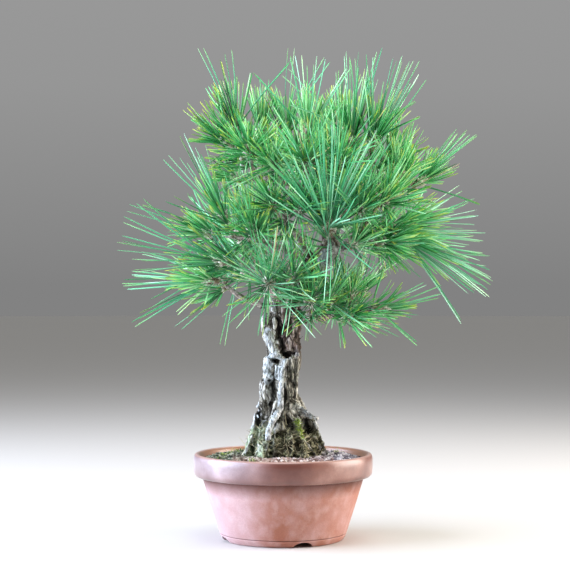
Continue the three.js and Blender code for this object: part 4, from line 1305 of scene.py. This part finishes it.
def make_spray(name, foot, way, opening, long_ones, short_ones, draw):
    """The mesh of one spray, and the number of its needles."""
    (long_size, long_count), (short_size, short_count) = long_ones, short_ones
    tall = SHOOT_HEIGHT + 0.11 * long_size
    foot, way = np.array(foot, float), unit(np.array(way, float))
    lengths = [long_size] * long_count + [short_size] * round(SHORT_SHARE * short_count)
    draw.shuffle(lengths)
    needles, sheaths = place_pairs(foot, way, opening, lengths, tall, draw)
    fresh = len(needles)
    for rows, old_rows in zip((needles, sheaths), old_pairs(foot, way, short_size, draw)):
        rows.extend(old_rows)

    *curves, lengths = (np.array(column) for column in zip(*needles))
    count = len(needles)
    widths = NEEDLE_RADIUS * draw.uniform(0.85, 1.1, count)
    tone = np.clip(draw.normal(0.45, 0.1) + draw.normal(0, 0.24, count), 0, 0.88)
    # the older pairs fill the inside of the tree: darker partly with age, partly as painted shade
    tone[fresh:] *= OLD_TONE_AND_SHADE
    tone[draw.random(count) < DEAD_SHARE] = 1.0
    cut_back = lengths < (long_size + short_size) / 2
    cut = np.where(cut_back, draw.random(count) ** 1.8, 0.25 * draw.random(count))
    young = np.clip((lengths - YOUNG_FROM) / YOUNG_OVER + draw.normal(0, 0.3, count), 0, 1)
    batches = [stretched(needle, *curves, widths, lengths, tone, cut, young)]

    bases, middles, sides, lengths = (np.array(column) for column in zip(*sheaths))
    tone = draw.random(len(sheaths))
    batches.append(stretched(
        sheath, bases, middles, middles * 0, sides, SHEATH_RADIUS, lengths, tone, number=1))

    side = unit(np.cross(UP, way))
    batches.append(stretched(
        core, foot[None], way[None], np.zeros((1, 3)), side[None], CORE_RADIUS, tall, 0.4, number=1))

    scales = round(SCALES_PER_MM * tall)
    steps = np.arange(scales)
    turn = steps * GOLDEN_ANGLE
    out = np.cos(turn)[:, None] * side + np.sin(turn)[:, None] * np.cross(way, side)
    starts = foot + way * (steps / scales * BEARING_SHARE * tall)[:, None] + out * CORE_RADIUS * 0.75
    ways = unit(way + out * draw.uniform(0.25, 0.75, scales)[:, None])
    across = unit(np.cross(ways, np.cross(ways, out)))
    batches.append(stretched(
        scale, starts, ways, out * 0.25, across, draw.uniform(*SCALE_WIDTHS, scales),
        draw.uniform(*SCALE_LENGTHS, scales), draw.random(scales), number=1))
    return weld(name, batches), count


shoots_on = {}
sprays = {}
needle_total = 0
for number, (limb, *shoot) in enumerate(shoots):
    shoots_on[limb] = shoots_on.get(limb, 0) + 1
    label = f"{limb}_{shoots_on[limb]}"
    sprays[label], count = make_spray(
        f"spray_{label}", *shoot, np.random.default_rng(FIRST_SPRAY_SEED + number))
    needle_total += count
print("sprays:", len(sprays), "needles:", needle_total,
      "triangles:", sum(map(triangle_count, sprays.values())))


# %% [markdown]
# A pine needle has a waxy skin, so it shines softly along its length, and rows of breathing pores give it a
# bluish bloom. The tone of each needle runs from deep green to yellow green. Its foot is paler, and a cut
# tip has dried. The shoot's scales are dry and papery, brown at the foot and silvery at the fringe.

# %% Needle and shoot materials
def make_needle_material():
    material, shader, add = new_material(
        "waxy_needle", Roughness=0.34, IOR=1.45, Specular_IOR_Level=0.7, Sheen_Weight=0.15,
        Sheen_Roughness=0.4, Sheen_Tint="#D8F0FF")
    tone, along, cut, young = (
        add("Attribute", attribute_name=name, output="Fac") for name in ("tone", "along", "cut", "young"))
    old = add("ValToRGB", tone, stops={
        0: "#14592A", 0.35: "#3AA954", 0.65: "#78D888", 0.88: "#C0F6B2", 0.97: "#CDB68A"})
    # long young needles keep more of their bloom, so they look bluer
    fresh = add("ValToRGB", tone, stops={0: "#217A48", 0.5: "#54BC84", 0.88: "#B2F0CE", 0.97: "#CDB68A"})
    green = add("Mix", young, old, fresh, **BLEND)
    green = add("Mix", add("MapRange", along, 0.16, 0.02), green, "#BFD694", **BLEND)
    # the inner half of a tuft gets less light and looks darker and duller
    green = add("Mix", 1, green, add("MapRange", along, 0.1, 0.7, 0.6, 1), **MULTIPLY)
    dry_tip = add("Math", add("MapRange", along, 0.68, 1), cut, operation="MULTIPLY")
    fill(shader, Base_Color=add("Mix", dry_tip, green, "#D9DE4A", **BLEND))
    return material


def make_shoot_material():
    material, shader, add = new_material("papery_scales", Roughness=0.8, IOR=1.45)
    tone, along = (add("Attribute", attribute_name=name, output="Fac") for name in ("tone", "along"))
    brown = add("ValToRGB", tone, stops={0: "#5E4A3A", 0.5: "#9C8871", 1: "#CFC3B0"})
    fill(shader, Base_Color=add("Mix", add("MapRange", along, 0.3, 0.9), brown, "#F0EBE0", **BLEND))
    return material


needle_material, shoot_material = make_needle_material(), make_shoot_material()
for label, spray in sprays.items():
    spray.data.materials.append(needle_material)
    spray.data.materials.append(shoot_material)
    pick(spray)
    bpy.ops.object.shade_smooth_by_angle(angle=math.radians(50))
    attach(spray, "root")
    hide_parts(f"needles_{label}")
print("sprays:", needle_material.name, shoot_material.name)

# %% [markdown]
# ## Moss
# Old moss and fibres cover the foot of the trunk. Their look comes from many fine curved threads, mostly
# grey green, some straw coloured, with a few clumps that are still bright. A thread is a three-sided spike
# with a ring in its middle so that it can curl. The threads stand on random vertices of the mossy bark.

# %% Moss on the roots and the soil
ON_ROOTS = 1500
ON_BAND = 300
STRAWS = 150
THREAD_LENGTHS = (1.2, 3.4)
STRAW_LENGTHS = (5, 12)
MOSS_SEED = 77
draw = np.random.default_rng(MOSS_SEED)


def chosen(chance, count):
    """Vertices of the bark, drawn with the chance that each has."""
    return draw.choice(len(bark_mm), count, replace=False, p=chance / chance.sum())


chance = moss_share ** 1.5 * (bark_mm[:, 2] > 80)
roots = chosen(chance, ON_ROOTS)

# clumps on the soil and in the hollow of the right root: place, radius, threads
clumps = [
    ((-50, 18), 11, 170), ((-60, 4), 8, 90), ((-44, 32), 8, 90), ((52, 34), 8, 110), ((6, 58), 9, 140),
    ((-30, -52), 5, 60), ((-62, -20), 7, 60),
]
soil_spots = []
for middle, radius, threads in clumps:
    for _ in range(threads):
        x, y = middle + radius * draw.normal(0, 0.5, 2)
        ground = soil_height(x, y)
        if ground is not None:
            soil_spots.append((x, y, ground + 1.2))

# a band of bright moss down the right root
band_gap = distance_to_line(bark_mm, surface(13.8, 120, FRONT), surface(20.7, 106, FRONT))
band = chosen(np.exp(-(band_gap / 2.2) ** 2), ON_BAND)

# straws of dead grass and old needles, which lie on the foot
straws = chosen(chance, STRAWS)
straw_normals = bark_normals[straws]
straw_ways = unit(np.cross(straw_normals, draw.normal(size=(STRAWS, 3)))) + 0.2 * straw_normals

starts = np.concatenate([bark_mm[roots], bark_mm[band], soil_spots, bark_mm[straws] + straw_normals])
count = len(starts)
soft_ways = np.concatenate([bark_normals[roots] * 0.7, bark_normals[band], [UP] * len(soil_spots)])
ways = unit(np.concatenate([soft_ways + draw.normal(0, 0.55, soft_ways.shape), straw_ways]))
across = unit(np.cross(ways, draw.normal(size=(count, 3))))
bends = draw.normal(0, 0.45, (count, 3))
bends[-STRAWS:] *= 0.3
sizes = draw.uniform(*THREAD_LENGTHS, count)
sizes[-STRAWS:] = draw.uniform(*STRAW_LENGTHS, STRAWS)
tone = draw.random(count)
tone[-STRAWS:] = draw.uniform(0.8, 1.0, STRAWS)
on_band = slice(ON_ROOTS, ON_ROOTS + ON_BAND)
tone[on_band] **= 0.5
widths = draw.uniform(0.28, 0.5, count)
alive = np.zeros(count)
alive[on_band] = 1
alive[on_band.stop:-STRAWS] = draw.random(len(soil_spots)) < 0.6
moss = weld("moss", [stretched(thread, starts - ways * 0.6, ways, bends, across, widths, sizes, tone, alive)])
print("moss threads:", count, "with", triangle_count(moss), "triangles")


# %% Moss material
def make_moss():
    material, shader, add = new_material("old_moss", Roughness=0.9, IOR=1.4)
    tone, alive = (add("Attribute", attribute_name=name, output="Fac") for name in ("tone", "cut"))
    old = add("ValToRGB", tone, stops={0: "#4F5238", 0.4: "#858A66", 0.7: "#B3AF8B", 0.92: "#E2D9B6"})
    fresh = add("ValToRGB", tone, stops={0: "#26381A", 0.5: "#4F6C28", 1: "#B4CC50"})
    fill(shader, Base_Color=add("Mix", alive, old, fresh, **BLEND))
    return material


moss.data.materials.append(make_moss())
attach(moss, "root")
print("moss:", *moss.data.materials.keys())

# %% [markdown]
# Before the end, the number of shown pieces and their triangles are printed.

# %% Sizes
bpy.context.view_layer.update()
meshes = [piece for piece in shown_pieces() if piece.type == "MESH"]
print("pieces:", len(meshes), "triangles:", sum(map(triangle_count, meshes)))
